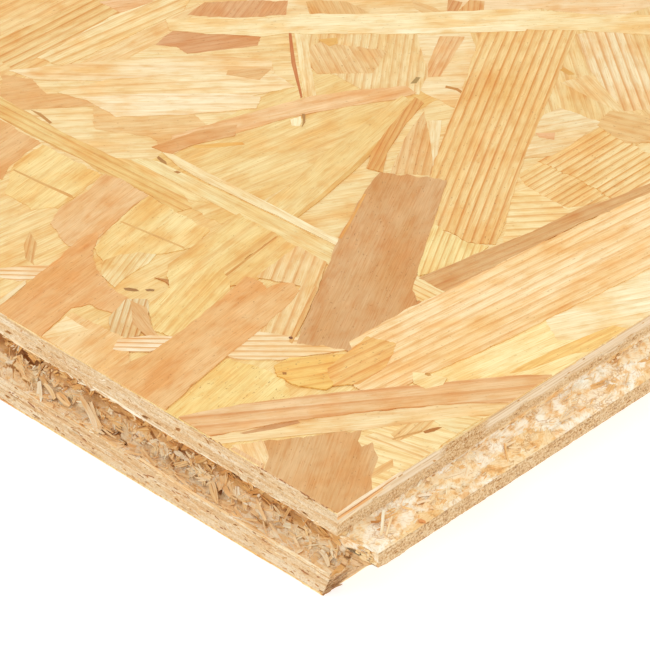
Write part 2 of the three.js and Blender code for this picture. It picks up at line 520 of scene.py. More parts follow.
def varied(rng, colour, amount=0.05):
    """A colour moved a little lighter or darker and warmer or cooler."""
    light = 1.0 + rng.uniform(-amount, amount)
    warm = rng.uniform(-amount, amount) * 0.6
    return (min(1.0, colour[0] * light), min(1.0, colour[1] * light * (1 - warm)),
            min(1.0, colour[2] * light * (1 - 2 * warm)), 1.0)


def strand_shape(rng, length, width):
    """A strand's outline about its middle: long sides bow a little and ends split off askew."""
    half, side = length / 2, width / 2
    taper = rng.uniform(0.72, 1.0)
    skew_a = rng.uniform(-0.7, 0.7) * side
    skew_b = rng.uniform(-0.7, 0.7) * side
    bow = rng.uniform(-0.04, 0.04) * width
    return [
        (-half - skew_a, -side * taper), (0, -side + bow), (half - skew_b, -side),
        (half + rng.uniform(-2.5, 2.5), rng.uniform(-0.4, 0.4) * side),
        (half + skew_b, side), (0, side + bow), (-half + skew_a, side * taper),
        (-half + rng.uniform(-2.5, 2.5), rng.uniform(-0.4, 0.4) * side)]


def placed(outline, centre, angle):
    """An outline turned by an angle and moved to a centre."""
    c, s = math.cos(angle), math.sin(angle)
    return [(centre[0] + c * u - s * v, centre[1] + s * u + c * v) for u, v in outline]


def over_show_corner(outline):
    """Whether a strand would reach over the part of the upper face laid strand by strand."""
    (low_x, high_x), (low_y, high_y) = ((min(run), max(run)) for run in zip(*outline))
    for column in range(5):
        for row in range(5):
            inward = SHOULDER_X - (low_x + (high_x - low_x) * column / 4)
            up = low_y + (high_y - low_y) * row / 4 - LIP_Y
            if (min(inward, up) > -SHOW_PAST and abs(inward - up) < SHOW_BAND
                    and inward + up < SHOW_INWARD):
                return True
    return False


class OSB_OT_face_strands(bpy.types.Operator):
    """Lay the random strands of both faces, mostly along the board's length"""

    bl_idname = "osb.face_strands"
    bl_label = "Face Strands"

    def execute(self, context):
        settings = context.scene.osb_strands
        rng = random.Random(settings.seed)
        woods = (
            (0.34, settings.cream), (0.17, settings.pale), (0.25, settings.straw),
            (0.13, settings.tan), (0.07, settings.brown), (0.04, settings.amber))
        for side, face_up, face, way in (
                ("upper", True, CORE_TOP, 1), ("lower", False, CORE_BOTTOM, -1)):
            low, high = (face + way * level for level in SKIN_LEVELS)
            meshes = [StrandMesh() for _ in range(PIECES_PER_FACE)]
            for index, centre in enumerate(jittered_places(rng, settings.count)):
                angle = math.radians(90) + rng.gauss(0, settings.spread)
                length = max(SHORTEST, rng.gauss(settings.length / MM, LENGTH_SPREAD))
                width = rng.lognormvariate(math.log(settings.width / MM), WIDTH_SPREAD)
                width = min(WIDEST, max(NARROWEST, width))
                share = rng.random()
                for part, wood in woods:
                    share -= part
                    if share < 0:
                        break
                height = rng.uniform(low, high)
                outline = placed(strand_shape(rng, length, width), centre, angle)
                ring_strength = rng.choice((0.15, 0.3, 0.45, 0.8, 1.0))
                figure = (rng.uniform(1.4, 3.4), ring_strength, rng.choice((0.2, 0.5, 0.9)))
                slope = (rng.uniform(-0.0022, 0.0022), rng.uniform(-0.003, 0.003))
                if face_up and over_show_corner(outline):
                    height = rng.uniform(*(face + level for level in COVERED_LEVELS))
                    slope = (0.0, 0.0)
                    wood = rng.choice((settings.cream, settings.straw, settings.pale))
                meshes[index % PIECES_PER_FACE].lay(
                    outline, angle, height, varied(rng, wood), figure, rng.uniform(0, 40), slope,
                    face_up)
            for number, strands in enumerate(meshes):
                strands.trim_to_board(0.0 if face_up else LOWER_SETBACK)
                strands.finish(f"{side}_strands_{number + 1}", settings.thickness)
        return {"FINISHED"}


def jittered_places(rng, count):
    """Places spread evenly over a face and a little past its edges, in a random order."""
    overhang = 12.0
    wide, long = SHOULDER_X - LIP_X + 2 * overhang, SHOULDER_Y - LIP_Y + 2 * overhang
    step = math.sqrt(wide * long / count)
    columns, rows = round(wide / step), round(long / step)
    places = [
        (LIP_X - overhang + wide * (column + rng.random()) / columns,
         LIP_Y - overhang + long * (row + rng.random()) / rows)
        for column in range(columns) for row in range(rows)]
    rng.shuffle(places)
    return places


# ---------------------------------------------------------------- show corner strands

# The strands of the show corner, lowest first. Each has its wood's colour, the angle of its
# grain in degrees, its growth ring gap, ring strength and fleck strength, and its outline in
# millimetres from the corner: inward from the tongue's shoulder, and up from the groove's lip.
SHOW_STRANDS = (
    # A pale ground that the others lie on.
    ("#f8e2ab", 84, 3.0, 0.3, 0.3, ((0, 0), (0, 62), (-26, 62), (-26, 0))),
    ("#f7dfa4", 96, 2.4, 0.3, 0.3, ((-20, 0), (-20, 80), (-50, 80), (-50, 0))),
    ("#f4d79a", 92, 2.6, 0.3, 0.4, ((-44, 0), (-44, 72), (-72, 72), (-72, 0))),
    ("#f3d496", 86, 2.6, 0.3, 0.4, ((-66, 0), (-66, 64), (-98, 64), (-98, 0))),
    ("#f4d79c", 84, 2.2, 0.5, 0.4, ((-92, 0), (-92, 62), (-150, 62), (-150, 0))),
    ("#fbe6b4", 100, 2.6, 0.3, 0.4, ((-20, 58), (0, 58), (0, 130), (-26, 130))),
    ("#f7e0ab", 70, 2.6, 0.3, 0.4, ((-22, 76), (-22, 150), (-54, 150), (-54, 76))),
    ("#f3d9a2", 60, 2.6, 0.4, 0.4, ((-48, 60), (-48, 160), (-86, 160), (-86, 60))),
    ("#f2d699", 80, 2.6, 0.4, 0.4, ((-80, 50), (-80, 125), (-114, 125), (-114, 50))),
    ("#f5dba6", 48, 2.6, 0.5, 0.4, ((-106, 40), (-106, 120), (-152, 120), (-152, 40))),
    ("#f6deb0", 50, 2.6, 0.4, 0.4, ((-66, 112), (-66, 175), (-140, 175), (-140, 112))),
    ("#f2cf92", 88, 2.4, 0.6, 0.4, ((-146, 50), (-146, 110), (-180, 110), (-180, 50))),
    ("#f0d49c", 140, 2.4, 0.6, 0.4, ((-112, 150), (-60, 182), (-40, 182), (-40, 120), (-72, 120))),
    # The far left.
    ("#f0cf92", 88, 2.4, 0.9, 0.4, ((-161, 60), (-150, 60), (-149, 98), (-152, 100), (-158, 92))),
    ("#eec494", 60, 2.4, 0.4, 0.4, ((-156, 90), (-149, 90), (-146, 98), (-151, 98))),
    ("#f3d29a", 86, 2.2, 0.5, 0.3, ((-142, 66), (-136, 66), (-136, 90), (-139, 104), (-141, 104))),
    ("#f8e2b0", 85, 2.6, 0.8, 0.2, ((-149.5, 66), (-143, 68), (-141, 100), (-143, 104),
     (-147.5, 99), (-150, 88))),
    ("#e9bb80", 60, 2.4, 0.3, 0.5, ((-150, 57), (-141, 47), (-128, 62), (-131, 66), (-138, 58),
     (-144, 60))),
    ("#efcb93", 50, 2.4, 0.4, 0.5, ((-131, 64), (-122, 56), (-112, 62), (-104, 60), (-104, 72),
     (-112, 74))),
    ("#fae7c0", 46, 3.4, 0.6, 0.2, ((-150, 59), (-144, 60), (-131, 72), (-119, 84), (-110, 95),
     (-114, 99), (-124, 92), (-138, 76))),
    ("#f9e3b6", 47, 2.8, 0.6, 0.2, ((-137, 60), (-131, 62), (-120, 73), (-108, 86), (-104, 95),
     (-110, 96), (-122, 84), (-133, 71))),
    ("#fbe8c2", 45, 3.0, 0.5, 0.2, ((-132, 62.5), (-122, 62), (-112, 73), (-104, 84), (-106, 88),
     (-114, 82), (-124, 72))),
    ("#dda673", 62, 1.6, 0.5, 0.7, ((-137, 93), (-130, 98.6), (-123, 105), (-120.4, 101),
     (-125, 94), (-128.6, 88.6), (-132, 89), (-135.6, 86.4))),
    ("#dfa974", 112, 1.6, 0.5, 0.7, ((-139, 99), (-130, 106.5), (-124.5, 113.5), (-128, 117.5),
     (-134, 112), (-140, 105))),
    ("#e8bf83", 150, 1.6, 0.4, 0.7, ((-119, 126), (-111.5, 126), (-112, 123), (-116, 119),
     (-121, 117), (-125, 120), (-124, 122))),
    ("#e6b87c", 60, 1.8, 0.4, 0.7, ((-118, 90), (-114, 95), (-112, 96.4), (-110.8, 92),
     (-117, 88.6))),
    ("#ecc890", 10, 1.8, 0.4, 0.4, ((-110, 136), (-104, 137), (-100, 136.6), (-103, 133.6),
     (-107, 134))),
    ("#f4d5a8", 48, 4.0, 0.3, 0.4, ((-104, 141), (-96, 142), (-88, 152), (-80, 157), (-74, 162),
     (-70, 176), (-110, 176))),
    ("#dda468", 118, 1.2, 0.8, 0.4, ((-104.4, 141.4), (-101.4, 142.6), (-98.6, 137),
     (-100.2, 136.4))),
    ("#e9be84", 130, 1.2, 0.8, 0.4, ((-101, 144.4), (-98.4, 146), (-95.4, 142.6), (-99.6, 139.2))),
    # Between the left side and the striped strand.
    ("#f2d8a4", 130, 1.8, 0.7, 0.5, ((-112, 117), (-100, 127), (-88, 118), (-84, 111), (-92, 104),
     (-104, 104), (-118, 110))),
    ("#ecc890", 150, 1.6, 0.6, 0.7, ((-112, 111), (-100, 118), (-96, 110), (-104, 102),
     (-112, 104))),
    ("#e9b968", 60, 1.6, 0.3, 0.6, ((-113, 111.2), (-110.6, 114.6), (-109, 113), (-109.4, 111))),
    ("#f6dfae", 138, 2.2, 0.5, 0.3, ((-118.6, 110), (-116, 111.4), (-107, 103), (-98.6, 96),
     (-98.6, 93.4), (-100.2, 94))),
    ("#cf8750", 138, 1.0, 0.4, 0.3, ((-119.2, 108.9), (-118.8, 109.3), (-110, 101.6),
     (-100.2, 93.6), (-100.1, 93.0), (-110.6, 101.0))),
    ("#f1c793", 66, 3.0, 0.45, 0.4, ((-94, 103), (-88, 111), (-84.6, 110.8), (-86, 106), (-92, 96),
     (-97, 86), (-100, 76), (-103.6, 66.6), (-106, 61), (-109, 65), (-107, 72), (-103, 84),
     (-99, 95))),
    ("#e6b57c", 64, 2.0, 0.4, 0.7, ((-109, 59.6), (-104.6, 60), (-103.6, 66), (-100, 74),
     (-102.4, 77), (-106.6, 70))),
    ("#efbf6c", 48, 1.6, 0.4, 0.4, ((-103.6, 65.6), (-102.8, 65.2), (-99.4, 68.8), (-96.4, 73.2),
     (-97.4, 73.4), (-100.6, 69.8))),
    ("#b58446", 140, 1.6, 0.2, 0.4, ((-95.9, 89), (-95.4, 89.4), (-93.4, 87.4), (-92.6, 85.6),
     (-93, 86.2), (-94.4, 87.8))),
    ("#fcebc0", 140, 1.6, 0.2, 0.1, ((-95.6, 88.4), (-94, 87), (-93.2, 85.6), (-94.4, 84.6),
     (-96.2, 86))),
    ("#ecbf86", 117, 1.2, 0.7, 0.3, ((-95.8, 129.6), (-92, 133.2), (-86.4, 121), (-85.4, 118.6),
     (-87, 116.8), (-89.8, 119.4))),
    ("#f1d597", 101, 5.0, 0.3, 0.4, ((-86, 108), (-82.4, 108), (-80, 100), (-78, 94), (-75.4, 84),
     (-73, 74), (-71.4, 61), (-79, 61), (-80, 70), (-82.6, 82), (-84.6, 96))),
    ("#e6bc72", 103, 1.0, 0.2, 0.3, ((-83.0, 108.4), (-82.0, 108), (-77.4, 95), (-74.2, 82),
     (-71.8, 70), (-70.6, 61), (-71.6, 61), (-72.8, 70), (-75.3, 82), (-78.5, 94.6))),
    ("#e6b46d", 117, 1.1, 0.8, 0.3, ((-83.6, 109.4), (-81, 109), (-78, 100), (-74, 91), (-69.6, 85),
     (-73, 84), (-76.4, 89), (-79.6, 97))),
    ("#ecc994", 125, 1.6, 0.8, 0.8, ((-79, 107), (-66, 96), (-61, 92), (-68.4, 86), (-75, 97))),
    ("#f5e0b4", 132, 1.6, 0.3, 0.2, ((-76, 105), (-66, 95.6), (-61.6, 91), (-61, 93), (-66, 97),
     (-74, 107))),
    ("#ad8a4e", 110, 1.6, 0.2, 0.4, ((-88.7, 115), (-87.9, 112.4), (-87.1, 113.4), (-88, 115.5))),
    ("#c98f45", 10, 1.6, 0.2, 0.4, ((-82.2, 116.9), (-79.8, 117.9), (-77.6, 117.6), (-77.6, 116.9),
     (-79.6, 117.1), (-81.8, 116.2))),
    # Above the long striped strand.
    ("#f1d49e", 160, 2.2, 0.4, 0.4, ((-66, 134), (-51, 134), (-44, 137), (-50, 144), (-64, 140))),
    ("#f4dcb0", 142, 2.0, 0.9, 0.4, ((-76, 150), (-66, 142), (-50, 135), (-46, 140), (-60, 153),
     (-70, 159))),
    ("#e0b060", 5, 1.4, 0.3, 0.4, ((-69.8, 138.8), (-66.2, 138.3), (-66.8, 137.2), (-69.4, 137.4))),
    ("#fae4ae", 48, 2.2, 0.8, 0.3, ((-47, 98), (-36, 83.6), (-34.4, 92), (-33.2, 101),
     (-44, 101.6))),
    ("#f4d598", 90, 1.6, 0.9, 0.6, ((-50, 103), (-44, 101.2), (-35, 101.6), (-32.8, 105),
     (-31, 111), (-50, 112))),
    ("#f6dba2", 92, 1.8, 1.0, 0.6, ((-50.4, 109.4), (-40, 110.4), (-31, 110), (-28, 119),
     (-36, 127), (-49.4, 127))),
    ("#f3dcae", 60, 2.4, 0.6, 0.5, ((-60, 127), (-50, 129), (-49.4, 113), (-54, 107), (-61, 120))),
    ("#eac488", 20, 2.0, 0.4, 0.7, ((-50.6, 127.4), (-42, 126.4), (-38, 131), (-45, 137),
     (-52, 133))),
    ("#eebf92", 40, 2.0, 0.3, 0.4, ((-57.4, 116.6), (-54.6, 119.4), (-53, 117.4), (-55.8, 116))),
    ("#f2cf90", 120, 1.75, 1.0, 0.6, ((-36.6, 82.4), (-41, 90), (-46, 97.6), (-52.8, 108),
     (-60, 121), (-69.6, 138), (-77, 151), (-81, 149), (-91, 137), (-80, 120), (-75.4, 112),
     (-66, 97), (-58, 84), (-52, 76), (-46, 79.4), (-41, 79), (-38.6, 80.4))),
    ("#f5dc9a", 120, 1.4, 0.8, 0.4, ((-53, 84), (-50, 79), (-46, 78.6), (-41, 78.8), (-37.4, 81),
     (-36.4, 76), (-38, 70), (-40, 64), (-45, 66), (-56, 84))),
    ("#fae7b9", 50, 3.0, 0.35, 0.4, ((-141, 95), (-138, 98.4), (-130, 105.4), (-124.6, 111.6),
     (-122, 116), (-115, 123), (-107, 131), (-99, 140), (-92, 148), (-80, 157), (-70, 166),
     (-64, 161), (-77, 151), (-85, 143.6), (-90, 138), (-98, 130), (-101, 125.6), (-110, 117.4),
     (-116.4, 110.6), (-119, 109), (-122, 104), (-130, 97.6), (-137.5, 92.2))),
    ("#fcedc6", 48, 2.6, 0.2, 0.2, ((-111, 118), (-101, 128.6), (-92, 138.6), (-85, 145),
     (-84.4, 143.4), (-90, 137.4), (-101, 126), (-110, 117.2))),
    # The cross strands.
    ("#f3d698", 3, 2.0, 0.4, 0.4, ((-114, 50.6), (-90, 51.6), (-87, 53.6), (-108, 53.8))),
    ("#efcf8c", 2, 1.7, 0.8, 0.4, ((-148, 46), (-133, 45.6), (-121, 46.2), (-116, 46.8),
     (-109, 46), (-104, 47), (-97, 47.4), (-89, 46.6), (-88, 50), (-92, 52), (-109, 52),
     (-125, 50.8), (-148, 51))),
    ("#c79552", 2, 1.7, 0.3, 0.4, ((-136.4, 52), (-134, 51.8), (-129.8, 51.2), (-129.8, 51.8),
     (-134, 52.6))),
    ("#f3dca4", 2, 2.6, 0.4, 0.3, ((-109, 53.4), (-104, 53.8), (-90, 54), (-70, 54.6), (-48, 54.8),
     (-48, 58.6), (-60, 60), (-75, 59.2), (-90, 58), (-104, 57), (-107, 56))),
    ("#b4803f", 2, 1.7, 0.2, 0.4, ((-105.8, 58.3), (-103.2, 57.9), (-102.4, 57.3), (-104, 57.1),
     (-105.6, 57.6))),
    ("#c08e4e", 60, 1.7, 0.2, 0.4, ((-99.4, 57.1), (-98.4, 57.3), (-98.6, 56.5), (-99.6, 56.4))),
    ("#f9e8be", 2, 2.2, 0.4, 0.2, ((-106, 59.6), (-100, 58.3), (-92, 58.2), (-75, 59.6),
     (-60, 60.4), (-54, 60.8), (-54, 62.8), (-66, 62), (-80, 61.6), (-95, 60.8), (-104, 60.6))),
    # The lower left.
    ("#e9ba80", 95, 3.0, 0.3, 0.5, ((-138, 45.4), (-126, 45.2), (-125.6, 41), (-124.4, 35),
     (-122, 31), (-127, 30), (-140, 43))),
    ("#f5d795", 98, 3.0, 0.4, 0.5, ((-125.4, 45.2), (-109, 45.6), (-107.4, 38), (-106.8, 32),
     (-110, 28), (-118, 28), (-124.4, 36))),
    ("#dfae68", 5, 3.0, 0.2, 0.4, ((-123, 34.6), (-123, 35.0), (-115, 35.8), (-108, 36.7),
     (-107, 36.2), (-108, 35.9), (-116, 35.1))),
    ("#ecc089", 100, 3.4, 0.25, 0.5, ((-109, 46.4), (-104, 47.4), (-97, 47), (-96.6, 42),
     (-95, 35), (-93.4, 29), (-92.4, 26), (-96, 24), (-104, 27), (-106.6, 32), (-107, 40))),
    ("#f6db9c", 100, 3.0, 0.4, 0.5, ((-97, 47), (-80, 47), (-78, 41), (-79, 38), (-84, 31),
     (-86.6, 25), (-92, 27), (-94.6, 35), (-96.4, 42))),
    ("#e0b06a", 8, 3.0, 0.2, 0.4, ((-94.6, 36.8), (-94.4, 37.2), (-86.4, 38.5), (-79.4, 39.5),
     (-78.8, 39.0), (-80, 39.0), (-87, 37.9))),
    ("#f4e0ae", 112, 1.2, 0.7, 0.3, ((-86.6, 28.6), (-84.6, 32), (-81.6, 34), (-80.6, 31),
     (-80.2, 24), (-79.4, 20.6), (-84.4, 22), (-87.4, 25))),
    ("#e8c288", 130, 1.2, 0.7, 0.5, ((-105, 22.4), (-101, 20.6), (-97, 15.8), (-95.6, 15),
     (-99, 15.6), (-102.4, 18.4))),
    ("#fae5c2", 42, 1.5, 1.0, 0.2, ((-100.2, 9.6), (-96.6, 14.4), (-93.6, 17.4), (-92.2, 12.8),
     (-94, 9.6), (-98, 7.6))),
    ("#ebb97e", 97, 4.0, 0.3, 0.6, ((-95.4, 34), (-93.2, 29), (-90.6, 25.6), (-86.4, 22.6),
     (-80.4, 20.4), (-73.4, 20), (-72.6, 14.6), (-79, 13.6), (-80.4, 10), (-79, 4), (-77.4, 0),
     (-90.4, 0), (-91.4, 6), (-93, 13), (-94.2, 20), (-96, 27))),
    ("#f5dfb4", 97, 1.5, 0.3, 0.2, ((-93.4, 10.4), (-92.4, 9.6), (-91, 3), (-90.4, 0), (-91.6, 0),
     (-92.6, 5))),
    # The yellow middle.
    ("#f3d592", 97, 4.0, 0.6, 0.5, ((-80, 55), (-69, 55), (-68.2, 45), (-66.4, 36.6), (-65, 30),
     (-72, 28), (-77.4, 33), (-78.8, 44))),
    ("#f2d08c", 100, 3.0, 0.5, 0.5, ((-69, 55), (-63.6, 54.6), (-62.6, 46), (-61.4, 41), (-64, 36),
     (-66.4, 36), (-67.6, 44))),
    ("#d9a258", 100, 1.0, 0.2, 0.3, ((-69.2, 54.4), (-68.8, 54.2), (-66.5, 38), (-65.8, 36.5),
     (-67.4, 36.2), (-67.0, 37))),
    ("#f6dc9c", 106, 2.0, 0.6, 0.5, ((-71, 40), (-64.6, 37.6), (-61.6, 34), (-59.6, 24),
     (-59.6, 17), (-64, 16), (-70.6, 21), (-72, 30))),
    ("#b18a56", 20, 1.6, 0.2, 0.4, ((-78.2, 21.9), (-77.4, 21.6), (-76, 22.4), (-75.2, 23.3),
     (-76.2, 23.4), (-77.5, 22.7))),
    ("#a87f4c", 20, 1.6, 0.2, 0.4, ((-74.8, 24.4), (-74.1, 24.3), (-73.2, 25.2), (-73.5, 25.7),
     (-74.4, 25.2))),
    ("#c68c4a", 20, 1.6, 0.2, 0.4, ((-76.2, 28.3), (-73.9, 29.7), (-72.4, 28.5), (-73.9, 28.8))),
    ("#e9cf9f", 125, 1.3, 1.0, 0.5, ((-75, 19.6), (-72, 22.4), (-69.6, 20.6), (-67, 17),
     (-64.6, 13), (-66, 9.6), (-69, 9.6), (-73, 13))),
    ("#e3b47a", 160, 1.6, 0.3, 0.5, ((-74, 19.7), (-70, 20.2), (-65, 16.4), (-61.4, 15.2),
     (-63, 13.8), (-68, 14.6))),
    ("#f3cf98", 97, 3.0, 0.4, 0.6, ((-77.4, 0), (-79, 9), (-72, 10), (-66, 10.4), (-60, 6),
     (-57, 0))),
    ("#fae3b6", 68, 1.6, 0.3, 0.2, ((-79, 7.6), (-72.6, 7.4), (-76, 1), (-77.4, 0))),
    ("#fae5c4", 42, 1.5, 1.0, 0.2, ((-66.6, 9.4), (-63, 14.6), (-59.6, 17.4), (-58.4, 13),
     (-59.6, 10.6), (-63, 7.4), (-65, 6.4))),
    ("#f3d6a2", 122, 2.2, 0.8, 0.4, ((-64, 55), (-56, 55), (-50, 46), (-46, 38), (-43, 31),
     (-46, 27), (-50, 25), (-51, 38), (-54, 46), (-62.4, 42))),
    ("#f8dd97", 100, 2.6, 0.3, 0.9, ((-49, 19), (-45.6, 8), (-44.4, 0), (-41, 0), (-29, 18),
     (-36, 23), (-44, 21))),
    ("#fae5be", 44, 1.7, 0.9, 0.2, ((-51, 18.6), (-46, 20.6), (-40, 26), (-32.6, 38), (-35, 39.2),
     (-41, 34.4), (-50.6, 29))),
    ("#ecbc80", 97, 5.0, 0.2, 0.6, ((-63.6, 40.8), (-60, 41.6), (-58, 40.4), (-57.5, 44),
     (-55.6, 45.6), (-53, 44.6), (-51.5, 40), (-49.5, 30), (-48.4, 23), (-46.4, 10), (-43.8, 0),
     (-60.8, 0), (-59, 10), (-60, 20), (-61.5, 30))),
    # The right side.
    ("#fee8ac", 80, 3.2, 0.35, 0.3, ((-22, 28), (0, 40), (0, 98), (-16, 98), (-17, 60))),
    ("#fdeec6", 62, 2.2, 0.4, 0.2, ((-14, 71), (-7, 67), (0, 77), (0, 94), (-13, 98))),
    ("#fad68a", 84, 1.6, 0.6, 0.6, ((-6.4, 53), (-4.6, 56), (-2.0, 66), (0, 72), (0, 80),
     (-2.6, 78), (-4.8, 68), (-6.4, 57))),
    ("#fae2aa", 20, 2.0, 0.6, 0.6, ((-16, 12), (0, 5), (0, 44), (-5, 39), (-14, 26))),
    ("#fbe4b0", 14, 1.7, 0.8, 0.2, ((-12.5, 19.6), (-6, 21), (0, 22.6), (0, 25.4), (-5, 24.4),
     (-11.6, 22.4))),
    ("#f1cf94", 100, 1.5, 0.7, 0.6, ((-9.4, 23.8), (-7, 23.2), (-5.4, 29), (-6.2, 32.4), (-9, 30))),
    ("#f7e6b4", 30, 1.5, 0.5, 0.2, ((-6.4, 32.4), (-3, 32), (0, 33), (0, 39), (-3.6, 37.6),
     (-7.6, 36))),
    ("#f0c98f", 92, 1.5, 0.6, 0.4, ((-4.6, 9.5), (-2.8, 9.8), (-2.1, 17), (-3.8, 18.6))),
    # Two dark slivers: painted shade in small gaps between the strands.
    ("#c08a42", 74, 2.0, 0.2, 0.9, ((-5.5, 28.6), (-4.9, 28.4), (-4.1, 30.0), (-3.9, 31.9),
     (-4.5, 31.4), (-5.2, 30))),
    ("#dcae6c", 70, 2.0, 0.2, 0.9, ((-8.1, 23), (-7.8, 22.8), (-5.6, 28.4), (-5.9, 28.7),
     (-7, 26.2))),
    ("#f9e8b8", 3, 1.3, 0.9, 0.2, ((-42, 64), (-32, 64.4), (-32, 58.2), (-36, 57.8), (-39, 58.4),
     (-42, 60))),
    ("#cf8f50", 90, 1.3, 0.2, 0.2, ((-34.5, 58.2), (-33.7, 58.2), (-33.7, 51.6), (-34.3, 51.6))),
    ("#dcae74", 80, 1.8, 0.6, 0.6, ((-39.6, 63.6), (-32.4, 63.6), (-31.4, 78), (-31, 84),
     (-29.6, 100), (-27.4, 110), (-25.4, 119), (-29, 119), (-31, 109), (-33, 104), (-34.5, 90),
     (-37, 78))),
    ("#d8a873", 118, 6.0, 0.2, 0.8, ((-70, 84.5), (-67.5, 78), (-62.8, 68.2), (-58.3, 59.8),
     (-52.5, 50.4), (-47, 41), (-41.4, 31.6), (-37.6, 34.6), (-35, 36), (-32, 37), (-32, 56),
     (-38, 60), (-44, 69), (-50, 78.6), (-58.4, 91.6), (-60, 91))),
    ("#e6ac60", 118, 1.2, 0.6, 0.3, ((-67.0, 76.8), (-66.6, 77.2), (-62.4, 69), (-59.4, 62.8),
     (-60.0, 62.4), (-63, 69))),
    ("#e9bd7e", 118, 1.2, 0.8, 0.3, ((-52.2, 47.6), (-51.2, 47.8), (-46.4, 39.6), (-42, 31.2),
     (-43.0, 31.3), (-47.8, 39.8))),
    ("#84522a", 118, 1.2, 0.2, 0.3, ((-43.9, 32.5), (-43.6, 32.8), (-43.1, 32.6), (-43.0, 32.2),
     (-43.4, 32.0), (-43.8, 32.1))),
    ("#fde2b2", 84, 2.3, 0.75, 0.5, ((-34.6, 39), (-34.1, 55), (-32.6, 65), (-31.5, 80),
     (-29.4, 98), (-26.6, 119), (-8.6, 119), (-10, 95), (-12.4, 75), (-13.8, 60), (-16.4, 45),
     (-17.8, 34), (-21, 29), (-25, 30), (-24.5, 35), (-29, 38), (-31.6, 37))),
    ("#f8d27e", 60, 2.6, 0.7, 0.9, ((-37, 22), (-32, 22.4), (-27.4, 25), (-27, 30), (-30.6, 38),
     (-35, 33), (-39, 27.6), (-39.4, 24))),
    ("#f3c67c", 84, 2.3, 0.75, 0.7, ((-31.6, 30), (-27, 27), (-24, 30.6), (-24, 38), (-28, 45),
     (-33.4, 42.6))),
    ("#b07836", 84, 2.9, 0.2, 0.7, ((-36.9, 23.4), (-36.3, 23.9), (-35.8, 23.4), (-36.3, 22.9))),
    ("#eec79a", 124, 2.0, 0.3, 0.7, ((-28.4, 0), (-25, 6), (-21.6, 4), (-17.4, 0))),
    ("#fae2b6", 150, 2.0, 0.5, 0.4, ((-28, 1), (-24.4, 6.4), (-20.6, 3.4), (-19, 1.2))),
    ("#ddaf79", 122, 7.0, 0.15, 0.8, ((-24.5, 6), (-20, 12.5), (-14, 21), (-12.1, 17.9),
     (-10.6, 17.3), (-10, 19.6), (-6, 17), (-3, 12), (0, 7.4), (0, 0), (-17.4, 0), (-20.4, 3.2))),
    ("#f7dcaa", 54, 3.4, 0.5, 0.5, ((-34, 0), (-31, 0), (-20, 13.4), (-13.8, 21.2), (-9, 28.6),
     (-3, 37.6), (0, 42.4), (0, 50), (-8, 39), (-18, 26), (-27, 13))),
    ("#eec694", 55, 3.2, 0.8, 0.5, ((-42, 0), (-36, 10), (-28, 22), (-20, 33), (-12, 43.4),
     (-5, 53), (0, 60), (0, 48), (-7, 39), (-16, 27), (-25, 14), (-33.6, 0))),
    ("#d59f6a", 58, 1.6, 0.5, 0.5, ((-29.4, 4.6), (-28.6, 5), (-25.6, 10), (-23.6, 14.6),
     (-24.4, 14.8), (-27, 10.4))),
    ("#fae3aa", 82, 3.2, 0.2, 0.3, ((-19.4, 40.4), (-16.4, 42.4), (-13.6, 43.6), (-12.6, 41.4),
     (-14, 38.2), (-17, 38))),
    ("#d29a50", 70, 3.2, 0.2, 0.3, ((-17.5, 41.9), (-16.9, 42.3), (-16.1, 42.1), (-16.4, 41.5),
     (-17.2, 41.4))),
)


# The height of the lowest of these strands, how far above it the highest lies, and the hair by
# which strands on one level differ, so that their faces don't coincide.
SHOW_LOWEST = CORE_TOP + 0.12
SHOW_RISE = 0.42
SHOW_HAIR = 0.0014
# An outline's points on the board's edge are laid this far past it, and sawn off.
SHOW_SPARE = 2


class OSB_OT_show_corner(bpy.types.Operator):
    """Lay the strands of the show corner one by one"""

    bl_idname = "osb.show_corner"
    bl_label = "Show Corner Strands"

    def execute(self, context):
        strands = StrandMesh()
        rng = random.Random(SHOW_SEED)
        noise.seed_set(SHOW_SEED)
        levels = stacked_levels([outline for *_, outline in SHOW_STRANDS])
        step = SHOW_RISE / max(levels)
        for order, (colour, angle, gap, rings, flecks, outline) in enumerate(SHOW_STRANDS):
            points = [
                (SHOULDER_X + x + SHOW_SPARE * (x == 0), LIP_Y + y - SHOW_SPARE * (y == 0))
                for x, y in outline]
            height = SHOW_LOWEST + step * levels[order] + SHOW_HAIR * (order % 9)
            strands.lay(
                points, math.radians(angle), height, linear(colour), (gap, rings, flecks),
                rng.uniform(0, 40))
        strands.trim_to_board()
        ragged_outlines(strands)
        strands.finish("show_corner_strands", 0.3 * MM)
        return {"FINISHED"}


def stacked_levels(outlines):
    """How high each strand lies: a level above the highest of the earlier ones that it crosses."""
    levels = []
    for outline in outlines:
        below = [level for level, other in zip(levels, outlines) if outlines_cross(outline, other)]
        levels.append(1 + max(below, default=0))
    return levels


def outlines_cross(first, second):
    """Whether two outlines overlap."""
    for axis in (0, 1):
        if (max(point[axis] for point in first) < min(point[axis] for point in second)
                or max(point[axis] for point in second) < min(point[axis] for point in first)):
            return False
    if holds(first, second[0]) or holds(second, first[0]):
        return True
    return any(
        geometry.intersect_line_line_2d(first[i - 1], first[i], second[j - 1], second[j])
        for i in range(len(first)) for j in range(len(second)))


def holds(outline, point):
    """Whether a point lies inside an outline."""
    x, y = point
    inside = False
    for (x1, y1), (x2, y2) in zip(outline, outline[1:] + outline[:1]):
        if (y1 > y) != (y2 > y) and x < x1 + (y - y1) * (x2 - x1) / (y2 - y1):
            inside = not inside
    return inside


